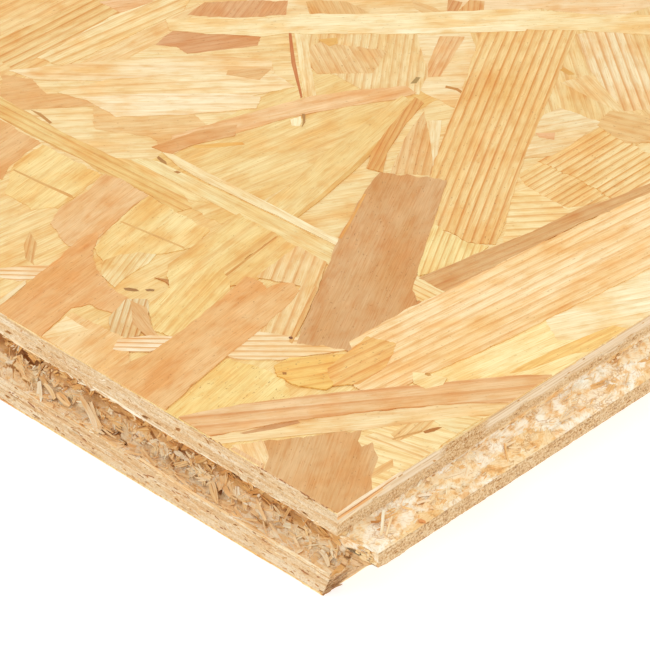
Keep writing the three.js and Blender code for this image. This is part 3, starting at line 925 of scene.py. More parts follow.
def ragged_outlines(strands):
    """Splinters the ends of the strands along the grain and frays their sides."""
    bm = strands.bm
    for _ in range(6):
        long_edges = [edge for edge in bm.edges if edge.calc_length() > 0.5 * MM]
        bmesh.ops.subdivide_edges(bm, edges=long_edges, cuts=1)
    for vert in bm.verts:
        place = vert.co / MM
        across, seed = vert[strands.grain][1:]
        along_x, along_y, amount = vert[strands.fray]
        # Sawn ends stay straight.
        amount *= ramp(min(SHOULDER_X - place.x, place.y - LIP_Y), 0.3, 3.0)
        splinter = (0.45 * noise.noise(Vector((across * 0.5, seed, 0.0)))
                    + 0.35 * noise.noise(Vector((across * 1.8, seed, 5.0))))
        shift = noise.noise_vector(Vector((place.x * 0.4, place.y * 0.4, seed)))
        move = Vector((
            splinter * along_x + 0.3 * shift.x, splinter * along_y + 0.3 * shift.y, 0.0)) * amount
        if SHOULDER_X - place.x < 0.4:
            move.x -= chipped(place) * (0.35 + 0.9 * abs(shift.y))
        vert.co += move * MM
        # The grain stays straight while the outline frays.
        vert[strands.grain] += Vector((
            move.x * along_x + move.y * along_y, move.y * along_x - move.x * along_y, 0.0))


# ---------------------------------------------------------------- milled core

# From this depth in the torn groove stands out, by more the deeper it was milled.
TORN_FROM = 3.2
# The height that the broken end of the lower lip is squeezed towards.
LIP_WAIST = 4.9
# How far behind the shoulder the lower lip's end has broken off.
LIP_BROKEN = 1.6
# A place this near to a milled face counts as on it.
ON_FACE = 0.12
# Beyond the show corner the edges are cut into runs of this length.
COARSE_RUN = 60
# The core is held this far inside the milled size, and torn fibres by less.
CORE_INSET = 0.09


def edge_zone(place):
    """Which milled edge a place is nearest to, or furthest past, as the outward direction."""
    reaches = (
        (place.x - SHOULDER_X, (1, 0, 0)), (LIP_X - place.x, (-1, 0, 0)),
        (place.y - SHOULDER_Y, (0, 1, 0)), (LIP_Y - place.y, (0, -1, 0)))
    return Vector(max(reaches, key=lambda reach: reach[0])[1])


def near_show_corner(place, reach):
    """Whether a place lies in reach of the corner where the grooved end meets the tongue."""
    return place.x > SHOULDER_X - reach and place.y < LIP_Y + reach


def ramp(value, low, high):
    """How far a value has come from low to high, from 0 to 1."""
    return min(1.0, max(0.0, (value - low) / (high - low)))


def torn_groove(place):
    """Where a place on the milled size has gone, once the groove's inside is torn out.

    Near the show corner the groove's floor is ragged and stands out, so the tongue's end does
    too, and the sliver of lower lip that was left under the tongue's end has broken away.
    """
    x, depth, z = place.x, place.y - LIP_Y, place.z
    if ramp(x, SHOULDER_X - DETAIL_REACH, SHOULDER_X - DETAIL_REACH + 8) < 1 or depth > 16:
        return place
    flank = GROOVE_MOUTH_LOW + FLANK_SLOPE * depth
    outer = min(depth, TORN_FROM)
    inner = max(0.0, min(depth, GROOVE_DEPTH) - TORN_FROM)
    new_depth = outer + inner * 0.4
    new_flank = GROOVE_MOUTH_LOW + 0.3 * outer + 0.74 * inner
    if depth < GROOVE_DEPTH + 0.1 and abs(z - flank) < ON_FACE:
        return Vector((min(x, SHOULDER_X - LIP_BROKEN), LIP_Y + new_depth, new_flank))
    if GROOVE_DEPTH - 0.3 < depth < GROOVE_DEPTH + 0.1 and 9.0 < z < 13.0:
        return Vector((x, LIP_Y + new_depth, z))
    if z < 9.28:
        if x < SHOULDER_X - 1.98 or depth > 12:
            return place
        pull = depth - new_depth
        if depth >= GROOVE_DEPTH:
            pull = 2.0 * (1 - ramp(depth, GROOVE_DEPTH, 12))
        old_flank = GROOVE_MOUTH_LOW + FLANK_SLOPE * min(depth, GROOVE_DEPTH)
        squeeze = (new_flank - LIP_WAIST) / (old_flank - LIP_WAIST)
        broken = SHOULDER_X - LIP_BROKEN + 7.6 * ramp(depth, 5.0, 8.0)
        return Vector((
            min(x, broken), place.y - pull * ramp(z, LIP_WAIST, 6.5),
            LIP_WAIST + (z - LIP_WAIST) * squeeze))
    if depth < GROOVE_DEPTH + 0.1 and abs(z - (GROOVE_MOUTH_HIGH - FLANK_SLOPE * depth)) < ON_FACE:
        return Vector((x, LIP_Y + depth * 0.69, z))
    if x > SHOULDER_X + 0.05:
        end = min(GROOVE_DEPTH, x - SHOULDER_X + 0.36)
        return Vector((x, place.y - 0.31 * end * (1 - ramp(depth, end, end + 8)), z))
    return place


def sawn_relief(place):
    """How deep a sawn face is scored, in millimetres, and how open its pits are."""
    layers = noise.noise(Vector((place.x / 9, place.y / 9, place.z / 0.55)))
    grit = noise.noise(Vector((place.x / 0.9, place.y / 0.9, place.z / 0.4)) + Vector((7, 0, 0)))
    void = noise.noise(Vector((place.x / 2.0, place.y / 2.0, place.z / 0.5)) + Vector((0, 31, 0)))
    return 0.5 + 0.5 * layers + 0.5 * grit, max(0.0, void - 0.42) * 4.0


def torn_relief(place, outward):
    """How a face is torn: its depth in millimetres, how open its cracks are, and its facet.

    Each flat cell is one strand of the core. It is torn at its own level and tilt, its fibres
    stand up in ridges, and a crack opens where it has come away from the next strand. The facet
    is given by its own number and by the angle that its fibres have turned to.
    """
    bend = noise.noise(Vector((place.x / 13, place.y / 13, place.z / 6)))
    ragged = noise.noise_vector(place / 1.3) * 0.5 + noise.noise_vector(place / 4.5) * 1.6
    size = Vector((4.4, 10.0, 1.7)) if outward.x else Vector((8.5, 5.0, 1.7))
    spot = Vector((
        (place.x + ragged.x) / size.x, (place.y + ragged.y) / size.y,
        (place.z + 0.25 * ragged.z) / size.z + 0.9 * bend))
    distances, points = noise.voronoi(spot)
    luck = noise.noise_vector(points[0] * 5.3)
    offset = (spot - points[0]) * size
    # Most of the core's strands lie along the board.
    turn = math.pi / 2 + luck.x * 2.4 if outward.x else luck.x * 7.0
    along = offset.x * math.cos(turn) + offset.y * math.sin(turn)
    across = offset.y * math.cos(turn) - offset.x * math.sin(turn)
    ridges = noise.noise(Vector((along / 3.6, across / 1.2, luck.y * 40)))
    hairs = noise.noise(Vector((along / 2.2, across / 0.55, luck.y * 40 + 9)))
    level = max(-1.0, min(1.0, offset.z / size.z))
    depth = 0.55 + 0.75 * luck.y + 0.30 * level + 0.26 * ridges + 0.12 * hairs
    depth = max(0.0, depth + 0.10 * across * luck.z)
    crack = max(0.0, 0.10 - (distances[1] - distances[0])) * 10.0 * max(0.0, luck.z + 0.15) * 2
    facet = min(1.0, max(0.05, 0.5 + luck.z * 0.9))
    # The cutter still met the nose's edge and the lip's edge cleanly.
    if outward.x + outward.y > 0:
        reach = max(place.x - SHOULDER_X, place.y - SHOULDER_Y)
        strength = 0.85 - 0.6 * ramp(reach, 3.6, 5.7)
    else:
        reach = max(LIP_X - place.x, LIP_Y - place.y)
        strength = 0.25 + 0.85 * ramp(-reach, 0.2, 2.0)
        if outward.y < 0:
            strength *= 1.0 - 0.6 * ramp(place.x, SHOULDER_X - 1.5, SHOULDER_X)
    return depth * strength, min(1.0, crack) * strength, facet, turn


def chipped(place):
    """How far the long edge's shoulder has chipped here, from 0 to 1."""
    start, end = LIP_Y + CHIPPED_EDGE[0], LIP_Y + CHIPPED_EDGE[1]
    return ramp(place.y, start, start + 3) * ramp(end - place.y, 0.0, 3.0) if place.x > 0 else 0.0


def torn_top(place):
    """How high up the shoulder the wood is torn out along with the tongue."""
    wander = noise.noise(Vector((place.x / 6, place.y / 6, 11.0)))
    near = near_show_corner(place, DETAIL_REACH)
    away = ramp(place.y, LIP_Y + 16, LIP_Y + 50) if near else 0.5
    return GROOVE_MOUTH_HIGH + away * (1.1 + 0.9 * wander)


def crumbliness(place, outward, on_nose):
    """How far a sawn face has crumbled to grains, from 0 to 1."""
    if on_nose:
        return 0.82
    if outward.x + outward.y < 0:
        return 0.30 if place.z > MID_HEIGHT else 0.22
    if place.z < MID_HEIGHT:
        return 0.5
    wander = noise.noise(Vector((place.x / 5, place.y / 5, 3.0)))
    return max(0.75 * ramp(19.3 + 1.2 * wander - place.z, 0.0, 0.9), 0.95 * chipped(place))


class OSB_OT_milled_core(bpy.types.Operator):
    """Make the board's core from the frame's solid, with its sawn and torn edges"""

    bl_idname = "osb.milled_core"
    bl_label = "Milled Core"

    def execute(self, context):
        settings = context.scene.osb_edges
        # Unless it is seeded, noise_vector starts from the clock and differs in each run.
        noise.seed_set(settings.seed)
        bm = bmesh.new()
        bm.from_mesh(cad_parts["osb_panel"].data)
        bmesh.ops.remove_doubles(bm, verts=bm.verts, dist=TOUCHING)
        bmesh.ops.dissolve_limit(
            bm, angle_limit=math.radians(1), verts=bm.verts, edges=bm.edges)
        for vert in bm.verts:
            vert.co.z = min(max(vert.co.z, CORE_BOTTOM * MM), CORE_TOP * MM)
        flats = [face for face in bm.faces if abs(face.normal.z) > 0.999]
        bmesh.ops.delete(bm, geom=flats, context="FACES_ONLY")
        cut_across(
            bm, Vector((1, 0, 0)), [SHOULDER_X - gap for gap in cut_gaps(SHOULDER_X - LIP_X)])
        cut_across(
            bm, Vector((0, 1, 0)), [LIP_Y + gap for gap in cut_gaps(SHOULDER_Y - LIP_Y)])
        bmesh.ops.triangulate(bm, faces=[face for face in bm.faces if len(face.verts) > 4])
        refine(bm, settings.detail, lambda place: near_show_corner(place, DETAIL_REACH + 0.1))
        refine(bm, settings.coarse, lambda place: True)
        rims = [edge for edge in bm.edges if edge.is_boundary]
        bmesh.ops.edgeloop_fill(bm, edges=rims)
        bmesh.ops.recalc_face_normals(bm, faces=bm.faces[:])
        roughen(bm, settings)
        core = board_piece("board_core", bm, milled_strand_core)
        core.data.shade_smooth()
        core.data.set_sharp_from_angle(angle=math.radians(36))
        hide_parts("osb_panel")
        return {"FINISHED"}


def cut_gaps(length):
    """Where an edge of a length is cut into runs, from the show corner: close, then far apart."""
    close = [2.4, 7.0] + [DETAIL_REACH * part / 8 for part in range(1, 9)] + [DETAIL_REACH + 6]
    return close + list(range(round(DETAIL_REACH) + COARSE_RUN, round(length) - 20, COARSE_RUN))


def cut_across(bm, axis, places):
    """Cuts all faces at places along an axis, so that long faces become short even ones."""
    for place in places:
        bmesh.ops.bisect_plane(
            bm, geom=bm.verts[:] + bm.edges[:] + bm.faces[:], plane_co=axis * place * MM,
            plane_no=axis)


def refine(bm, step, inside):
    """Halves the edges in a region until none is longer than a step."""
    while True:
        long_edges = [
            edge for edge in bm.edges if edge.calc_length() > step
            and inside((edge.verts[0].co + edge.verts[1].co) / 2 / MM)]
        if not long_edges:
            return
        bmesh.ops.subdivide_edges(bm, edges=long_edges, cuts=1, use_grid_fill=True)


def roughen(bm, settings):
    """Scores the sawn faces and tears the tongues and grooves, always inward."""
    painted_shade = bm.verts.layers.float.new("painted_shade")
    torn = bm.verts.layers.float.new("torn")
    facet = bm.faces.layers.float.new("facet")
    ridge = bm.faces.layers.float.new("ridge")
    crumbled = bm.verts.layers.float.new("crumbled")
    burnished = bm.verts.layers.float.new("burnished")
    bm.normal_update()
    normals = [face.normal.copy() for face in bm.faces]
    for vert in bm.verts:
        vert.co = torn_groove(vert.co / MM) * MM
    relax_folds(bm, normals, 16)
    normals = [face.normal.copy() for face in bm.faces]
    for face in bm.faces:
        place = face.calc_center_median() / MM
        outward = edge_zone(place)
        top = torn_top(place) if outward.x + outward.y > 0 else GROOVE_MOUTH_HIGH
        if GROOVE_MOUTH_LOW < place.z < top and near_show_corner(place, DETAIL_REACH):
            face[facet], face[ridge] = torn_relief(place, outward)[2:]
    moves = []
    for vert in bm.verts:
        place = vert.co / MM
        outward = edge_zone(place)
        if outward.y < 0 and vert.normal.x > 0.7:
            outward = Vector((1, 0, 0))
        past_shoulder = max(place.x - SHOULDER_X, place.y - SHOULDER_Y)
        on_nose = vert.normal.dot(outward) > 0.8 and past_shoulder > TONGUE / 2
        on_rim = min(abs(place.z - CORE_TOP), abs(place.z - CORE_BOTTOM)) < 0.01
        near = near_show_corner(place, DETAIL_REACH + 6)
        if GROOVE_MOUTH_LOW < place.z < GROOVE_MOUTH_HIGH and not on_nose:
            depth, crack, *_ = torn_relief(place, outward)
            move = -(depth * settings.torn_depth + crack * 0.2 * MM) if near else -0.2 * MM
            vert[torn] = 1.0
            # Painted shade in cracks and pits is finer than the coarse mesh, and would show there
            # as soft blots.
            vert[painted_shade] = 0.8 * crack + max(0.0, depth - 1.0) * 0.5 if near else 0.0
            # Painted warm shade inside the groove, more of it further in.
            if outward.x + outward.y < 0:
                inside_by = min(abs(place.x - LIP_X), abs(place.y - LIP_Y))
                vert[painted_shade] += 0.22 * ramp(inside_by, 0.5, 2.5) + 0.32 * ramp(inside_by, 3.9, 4.6)
            if (outward.x >= 0 and place.x > SHOULDER_X - 2.4 and place.z < 9.4
                    and place.y < LIP_Y + 12):
                # Painted shade under the tongue's end, on the broken end of the lower lip.
                vert[painted_shade] += 0.4
            vert[painted_shade] = min(0.85, vert[painted_shade])
        else:
            depth, void = sawn_relief(place)
            vert[crumbled] = 0.0 if on_rim else crumbliness(place, outward, on_nose)
            if outward.x + outward.y > 0 and place.z > MID_HEIGHT and not on_nose:
                vert[torn] = ramp(torn_top(place) - place.z, -0.3, 0.3)
                whole = 1.0 - vert[torn]
                vert[crumbled] *= whole
                if not on_rim:
                    vert[burnished] = 0.9 * (1.0 - ramp(vert[crumbled], 0.0, 0.4)) * whole
            if outward.x > 0 and place.x < SHOULDER_X - 1.0 and place.y < LIP_Y + 6:
                # The broken end of the lower lip: crumbled wood, its dark grains partly painted
                # shade.
                vert[crumbled] = 0.9
            grain = max(0.0, noise.noise(Vector((place.x / 0.8, place.y / 0.8, place.z / 0.7))))
            roughness = min(1.0, 0.35 + 2.2 * vert[crumbled])
            pits = (void * 0.35 + vert[crumbled] ** 2 * grain * 0.16) * MM
            move = -(depth * settings.sawn_depth * roughness + pits)
            # Painted shade in the open pits of the sawn face.
            vert[painted_shade] = min(0.8, void) if near else 0.0
        if not near and past_shoulder > TONGUE - 1:
            # The rounded nose keeps its shape where the mesh is coarse.
            move = -0.04 * MM
        normal = vert.normal.copy()
        if on_rim:
            normal.z = 0.0
            move *= 0.5
        moves.append((vert, normal * min(move, 0.0)))
    for vert, move in moves:
        vert.co += move
    relax_folds(bm, normals, 3)
    keep_on_board(bm, lambda vert: CORE_INSET)


def relax_folds(bm, normals, rounds):
    """Smooths where faces have turned over, next to the normals that they had before."""
    for _ in range(rounds):
        bm.normal_update()
        folded = [face for face, normal in zip(bm.faces, normals) if face.normal.dot(normal) < 0.1]
        verts = list({vert for face in folded for vert in face.verts})
        bmesh.ops.smooth_vert(
            bm, verts=verts, factor=0.5, use_axis_x=True, use_axis_y=True, use_axis_z=True)
    bm.normal_update()


def keep_on_board(bm, inset_of):
    """Holds everything inside the milled size, by each vertex's inset in millimetres."""
    for vert in bm.verts:
        inset = inset_of(vert)
        low, high = BOARD_LOW + Vector.Fill(3, inset), BOARD_HIGH - Vector.Fill(3, inset)
        vert.co = Vector(min(max(at, a * MM), b * MM) for at, a, b in zip(vert.co, low, high))


# ---------------------------------------------------------------- torn fibres

FRESH_WOOD = ("#fdeed2", "#fbe3bd", "#f9dbae", "#fef4e2", "#fadfb4")
FACET_WOOD = ("#fdecce", "#fbe2b8", "#f8d6a0", "#fef2dc", "#f4ca8e")
GOLDEN_WOOD = ("#f0cd97", "#e6ba80", "#f5d7a6", "#ddab6c", "#f3d3a2")
BEIGE_WOOD = ("#f3e2c6", "#ecd3ae", "#f8ecd8", "#e3c196")
# Paler than the wood itself: painted light on the groove's shaded slope.
SLOPE_PAINTED_LIGHT_WOOD = ("#fff2d8", "#fee9c6", "#fddfb0", "#fff6e4", "#fbd9a4")
# Darker and more golden than the wood itself: painted shade deep in the groove.
GROOVE_PAINTED_SHADE_WOOD = ("#eabc78", "#dba560", "#f0c88b", "#cc944e", "#e5bb7d")

# Where fibres are torn up at the show corner, in bundles that lie side by side. A place is
# given in millimetres from the corner: inward from the tongue's shoulder, up from the groove's
# lip, and height. Each zone has its number of bundles, the fewest and the most fibres in one,
# its first place, its run along the edge, its reach across, the way it faces, the angle of its
# fibres to the run and their spread, how far they lift, in degrees, the lengths and widths of
# the fibres in millimetres, and their woods.
TORN_ZONES = (
    # Tongue flank flakes.
    (44, (2, 6), (0.2, 4.0, 15.88), (0, 80, 0), (4.4, 4.2, -2.42), (0.48, 0, 0.88), (0, 26),
     (-2, 1), (2.0, 6.0), (0.16, 0.32), FACET_WOOD),
    # Tongue flank fibres.
    (80, (1, 2), (0.1, 2.0, 15.94), (0, 82, 0), (5.4, 4.8, -2.97), (0.48, 0, 0.88), (0, 32),
     (-2, 3), (0.8, 2.6), (0.1, 0.22), FACET_WOOD),
    # Tongue flank tufts.
    (9, (2, 4), (0.2, 4.0, 15.88), (0, 80, 0), (4.8, 4.8, -2.64), (0.48, 0, 0.88), (35, 50),
     (4, 16), (0.5, 1.2), (0.12, 0.22), FRESH_WOOD),
    # Shoulder fringe.
    (70, (1, 3), (0.0, 1.0, 15.9), (0, 84, 0), (0.3, 0, 0.5), (0.9, 0, 0.3), (0, 22), (0, 8),
     (0.6, 2.2), (0.12, 0.26), BEIGE_WOOD + FRESH_WOOD),
    # Groove floor bundles.
    (190, (1, 4), (-3.0, 4.4, 9.2), (-91, 0, 0), (0, 0, 3.6), (0, -1, 0.1), (10, 36), (-2, 8),
     (1.6, 5.0), (0.16, 0.6), GROOVE_PAINTED_SHADE_WOOD),
    # Groove slope bundles.
    (200, (1, 4), (-3.0, 3.1, 6.9), (-91, 0, 0), (0, 1.3, 2.1), (0, -0.75, 0.66), (-15, 38),
     (-2, 8), (1.4, 4.6), (0.15, 0.5), SLOPE_PAINTED_LIGHT_WOOD),
    # Groove long strands.
    (17, (1, 2), (-6.0, 1.4, 6.3), (-86, 0, 0), (0, 2.2, 1.6), (0, -0.6, 0.8), (-35, 12), (0, 6),
     (5.0, 11.0), (0.6, 1.2), FRESH_WOOD),
    # Groove tufts.
    (116, (2, 3), (-2.0, 3.0, 6.9), (-92, 0, 0), (0, 1.5, 5.0), (0, -0.9, 0.4), (50, 42), (0, 24),
     (0.6, 1.6), (0.12, 0.26), FRESH_WOOD + GOLDEN_WOOD),
    # Lower lip ridges.
    (128, (1, 3), (-2.4, 0.05, 5.84), (-92, 0, 0), (0, 2.6, 0.78), (0, -0.29, 0.96), (0, 14),
     (-1, 2), (2.0, 7.0), (0.25, 0.8), FRESH_WOOD),
    # Lower lip fibres.
    (180, (1, 3), (-2.4, 0.1, 5.84), (-92, 0, 0), (0, 3.0, 0.9), (0, -0.4, 0.9), (8, 34), (-2, 10),
     (0.8, 2.6), (0.12, 0.3), FRESH_WOOD),
    # Upper lip fringe.
    (100, (1, 2), (-0.4, 0.06, 16.2), (-88, 0, 0), (0, 0, 0.7), (0, -1, 0), (0, 16), (0, 2),
     (0.8, 3.0), (0.12, 0.3), BEIGE_WOOD),
    # Upper lip chips.
    (170, (1, 1), (-0.4, 0.06, 17.0), (-88, 0, 0), (0, 0, 4.3), (0, -1, 0), (0, 18), (0, 0),
     (0.5, 1.6), (0.12, 0.28), BEIGE_WOOD + ("#d9ab72", "#cb9558")),
    # Upper lip pits: flat dark brown fibres, as painted shade in the pits.
    (34, (1, 1), (-0.6, 0.02, 21.2), (-34, 0, 0), (0, 0, 0.18), (0, -1, 0), (0, 6), (0, 0),
     (0.5, 1.6), (0.12, 0.26), ("#a5673a", "#b5774a")),
    # Lower lip chips.
    (230, (1, 1), (-4.4, 0.05, 0.9), (-84, 0, 0), (0, 0, 4.4), (0, -1, 0), (0, 12), (0, 0),
     (0.6, 2.4), (0.12, 0.34), BEIGE_WOOD + ("#daa96c", "#f8e2b8", "#c98f4e", "#b0743e")),
    # Comb by the tongue.
    (44, (1, 2), (-0.6, 3.2, 6.8), (-9.5, 0, 0), (0, 1.2, 1.8), (0, -0.9, 0.3), (88, 9), (0, 8),
     (0.9, 2.0), (0.14, 0.28), ("#f9e4bf", "#f2d3a2", "#e8bf8b")),
    # Lip end layers, in grey-brown woods that are partly painted shade.
    (60, (1, 2), (-3.7, 0.5, 0.3), (0, 4.4, 0), (1.7, 0, 4.4), (0.94, 0, -0.34), (0, 5), (0, 0),
     (1.0, 2.6), (0.12, 0.28), ("#b89066", "#c5a074", "#a87e54", "#d5b892", "#be986c")),
    # Tongue end.
    (22, (2, 4), (0.6, 3.7, 9.6), (5, 1, 0), (0, 0, 2.6), (0, -1, 0.1), (0, 16), (-1, 2),
     (0.8, 2.4), (0.16, 0.32), ("#f6dcaa", "#f0cf96", "#fbe8c6")),
)

# Slivers, and dark strips painted as the shade in cracks, that show one by one: wood, two ends as
# above, width, and the way they face.
SHOW_SLIVERS = (
    ("#fdf4dc", (0.6, 11.8, 16.0), (3.6, 7.6, 14.3), 0.6, (0.5, -0.2, 0.85)),
    ("#fbeaca", (2.1, 12.4, 15.0), (4.0, 8.6, 13.9), 0.4, (0.4, -0.2, 0.9)),
    ("#fff6e6", (1.4, 20.0, 15.1), (2.4, 22.6, 14.6), 0.45, (0.48, 0, 0.88)),
    ("#fff6e6", (2.3, 18.6, 14.7), (3.1, 21.4, 14.3), 0.45, (0.48, 0, 0.88)),
    ("#fdecd0", (1.0, 26.4, 15.3), (2.0, 31.6, 14.8), 0.3, (0.48, 0, 0.88)),
    ("#e8a870", (5.1, 16.3, 13.35), (5.7, 17.4, 13.0), 0.6, (0.6, 0, 0.8)),
    # A dark strip: painted shade in a crack of the flank.
    ("#c98e4c", (0.9, 8.0, 15.5), (1.5, 9.6, 15.2), 0.4, (0.48, 0, 0.88)),
    # Layers of the tongue's shoulder by the corner.
    ("#faeedb", (0.02, 0.1, 20.95), (0.02, 17.0, 21.6), 0.75, (1, 0, 0)),
    ("#cf8d48", (0.035, 0.1, 20.45), (0.035, 15.5, 21.1), 0.24, (1, 0, 0)),
    ("#f3c48c", (0.0, 0.1, 19.9), (0.0, 12.0, 20.7), 0.7, (1, 0, 0)),
    ("#f3dcb8", (0.01, 0.6, 19.0), (0.01, 14.0, 20.1), 0.5, (1, 0, 0)),
    # White slivers along the edge of the upper lip, and the pale edge of the lower one.
    ("#fbf0dc", (-90.0, 0.02, 16.9), (-83.0, 0.02, 16.6), 0.5, (0, -1, 0.1)),
    ("#fdf5e6", (-87.0, 0.01, 16.6), (-80.0, 0.01, 16.4), 0.45, (0, -1, 0.1)),
    ("#fbf0dc", (-82.0, 0.03, 16.5), (-76.0, 0.03, 16.4), 0.3, (0, -1, 0.1)),
    ("#f7e8cf", (-64.0, 0.04, 17.0), (-57.0, 0.04, 16.8), 0.35, (0, -1, 0.1)),
    ("#fbf0dc", (-60.0, 0.02, 16.8), (-51.0, 0.02, 16.5), 0.5, (0, -1, 0.1)),
    ("#fdf5e6", (-57.0, 0.01, 16.5), (-50.0, 0.01, 16.3), 0.4, (0, -1, 0.1)),
    ("#f7e8cf", (-52.0, 0.03, 16.6), (-44.0, 0.03, 16.5), 0.35, (0, -1, 0.1)),
    ("#fbf0dc", (-36.0, 0.03, 16.4), (-31.0, 0.03, 16.4), 0.25, (0, -1, 0.1)),
    ("#fdeed2", (-26.0, 0.1, 5.9), (-2.2, 0.1, 5.6), 0.7, (0, -0.7, 0.7)),
    ("#f8e0ba", (-52.0, 0.3, 6.1), (-28.0, 0.1, 5.8), 0.6, (0, -0.7, 0.7)),
)


# A fibre's root in millimetres, its way, its side and what faces out, then its sizes and wood.
Fibre = namedtuple("Fibre", "root along side lift length width curl wood seed blunt")
# How many parts a fibre has along its length.
FIBRE_PARTS = 4


class TornMesh(StrandMesh):
    """A mesh that torn fibres are set into, all grown from their roots at once."""

    def __init__(self):
        super().__init__()
        self.number = self.bm.verts.layers.int.new("fibre")
        self.fibres = []

    def set_fibre(self, root, along, facing, length, width, curl, wood, seed, blunt=False):
        """Sets one fibre: its root in millimetres, its way, the way it faces, and its sizes."""
        along = along.normalized()
        side = facing.cross(along).normalized()
        self.fibres.append(
            Fibre(root, along, side, along.cross(side), length, width, curl, wood, seed, blunt))

    def set_bundle(self, rng, count, root, along, facing, length, width, wood):
        """Sets a bundle: fibres side by side that ran on together until they tore."""
        side = facing.cross(along).normalized()
        seed, curl = rng.uniform(0, 40), rng.uniform(-0.10, 0.16)
        for number in range(count):
            start = root + side * ((number - (count - 1) / 2) * width * 0.82)
            start -= along * (0.2 + length * rng.uniform(0, 0.15))
            way = along + side * rng.gauss(0, 0.03) + facing * rng.gauss(0, 0.012)
            own_length = cut_length(start, way, length * rng.uniform(0.65, 1.0))
            self.set_fibre(
                start, way, facing, own_length, width, curl + rng.uniform(-0.02, 0.02),
                varied(rng, wood, 0.025), seed + 0.13 * number)

    def point(self, fibre, part, sign):
        """A place on one side of a fibre's outline, after a number of its parts."""
        share = part / FIBRE_PARTS
        widths = (0.9, 1.0, 1.0, 1.0, 0.85) if fibre.blunt else (0.8, 1.0, 1.0, 0.95, 0.55)
        half = fibre.width / 2 * widths[part]
        wander = fibre.width * 0.25 * math.sin(fibre.seed * 31 + part)
        return (fibre.root + fibre.along * (fibre.length * share)
                + fibre.lift * (fibre.curl * fibre.length * share * share)
                + fibre.side * (half * sign + wander))

    def grow(self):
        """Draws every root as an edge, extrudes them part by part and bends them as they go."""
        bm = self.bm
        for number, fibre in enumerate(self.fibres):
            pair = []
            for sign in (-1, 1):
                vert = bm.verts.new(self.point(fibre, 0, sign) * MM)
                vert[self.number] = number
                vert[self.grain] = (
                    ALONG_STEP * fibre.seed, sign * fibre.width / 2 + ACROSS_STEP * fibre.seed,
                    fibre.seed)
                vert[self.tone] = fibre.wood
                vert[self.figure] = (1.1, 0.5, 0.25)
                pair.append(vert)
            bm.edges.new(pair)
        edges = bm.edges[:]
        for part in range(1, FIBRE_PARTS + 1):
            grown = bmesh.ops.extrude_edge_only(bm, edges=edges)["geom"]
            edges = [piece for piece in grown if isinstance(piece, bmesh.types.BMEdge)]
            for vert in (piece for piece in grown if isinstance(piece, bmesh.types.BMVert)):
                fibre = self.fibres[vert[self.number]]
                across = vert[self.grain][1]
                sign = 1 if across > ACROSS_STEP * fibre.seed else -1
                vert.co = self.point(fibre, part, sign) * MM
                along = ALONG_STEP * fibre.seed + fibre.length * part / FIBRE_PARTS
                vert[self.grain] = (along, across, fibre.seed)
        for face in bm.faces:
            face.normal_update()
            if face.normal.dot(self.fibres[face.verts[0][self.number]].lift) < 0:
                face.normal_flip()
        keep_on_board(bm, lambda vert: 0.01 + 0.06 * (vert[self.grain][2] % 1.0))

    def thicken(self, thickness):
        """Grows the fibres and gives them their thickness, inside the milled size."""
        self.grow()
        super().thicken(thickness)
        keep_on_board(self.bm, lambda vert: 0.001)


def from_corner(place):
    """A place in board coordinates, from one given in millimetres from the show corner."""
    return Vector((SHOULDER_X + place[0], LIP_Y + place[1], place[2]))


def cut_length(root, along, length):
    """How long a fibre is once the cutter has taken off what stood past the milled size."""
    end_x = BOARD_HIGH.x - 0.15
    if root.x < SHOULDER_X - 0.4:
        # A fibre of the groove ends with the groove, above the lower lip or on it.
        end_x = SHOULDER_X - (2.2 if root.z < 9.0 else 0.3)
    for axis, limit in ((0, end_x), (1, LIP_Y + 0.08)):
        room = (limit - root[axis]) / along[axis] if abs(along[axis]) > 1e-6 else length
        if room > 0:
            length = min(length, room)
    return max(length, 0.3)


class OSB_OT_torn_fibres(bpy.types.Operator):
    """Tear up the fibres of the milled edges at the show corner"""

    bl_idname = "osb.torn_fibres"
    bl_label = "Torn Fibres"

    def execute(self, context):
        settings = context.scene.osb_edges
        rng = random.Random(settings.seed)
        # The same seed as the core's, because fibres root on its torn faces.
        noise.seed_set(settings.seed)
        torn = TornMesh()
        for zone in TORN_ZONES:
            bundles, fibres, first, run, reach, facing, lie, lifts, lengths, widths, woods = zone
            run, facing = Vector(run), Vector(facing).normalized()
            for _ in range(round(bundles * settings.fibres)):
                root = from_corner(first) + run * rng.random() + Vector(reach) * rng.random()
                if GROOVE_MOUTH_LOW < root.z < GROOVE_MOUTH_HIGH:
                    sunk = torn_relief(root, edge_zone(root))[0] * settings.torn_depth / MM
                    root -= facing * (sunk - 0.04)
                turn = math.radians(rng.gauss(*lie)) + rng.choice((0.0, math.pi))
                lift = math.radians(rng.uniform(*lifts))
                flat = (run.normalized() * math.cos(turn)
                        + facing.cross(run.normalized()) * math.sin(turn))
                count = rng.randint(*fibres)
                length, width = (
                    min(rng.uniform(*sizes), rng.uniform(*sizes)) for sizes in (lengths, widths))
                torn.set_bundle(
                    rng, count, root, flat * math.cos(lift) + facing * math.sin(lift), facing,
                    length, width, varied(rng, linear(rng.choice(woods)), 0.05))
        torn.finish("torn_fibres", 0.11 * MM)
        slivers = TornMesh()
        for wood, start, end, width, facing in SHOW_SLIVERS:
            start, end = from_corner(start), from_corner(end)
            slivers.set_fibre(
                start, end - start, Vector(facing), (end - start).length, width, 0.0,
                linear(wood), rng.uniform(0, 40), True)
        slivers.finish("show_slivers", 0.14 * MM)
        return {"FINISHED"}


# ---------------------------------------------------------------- stage


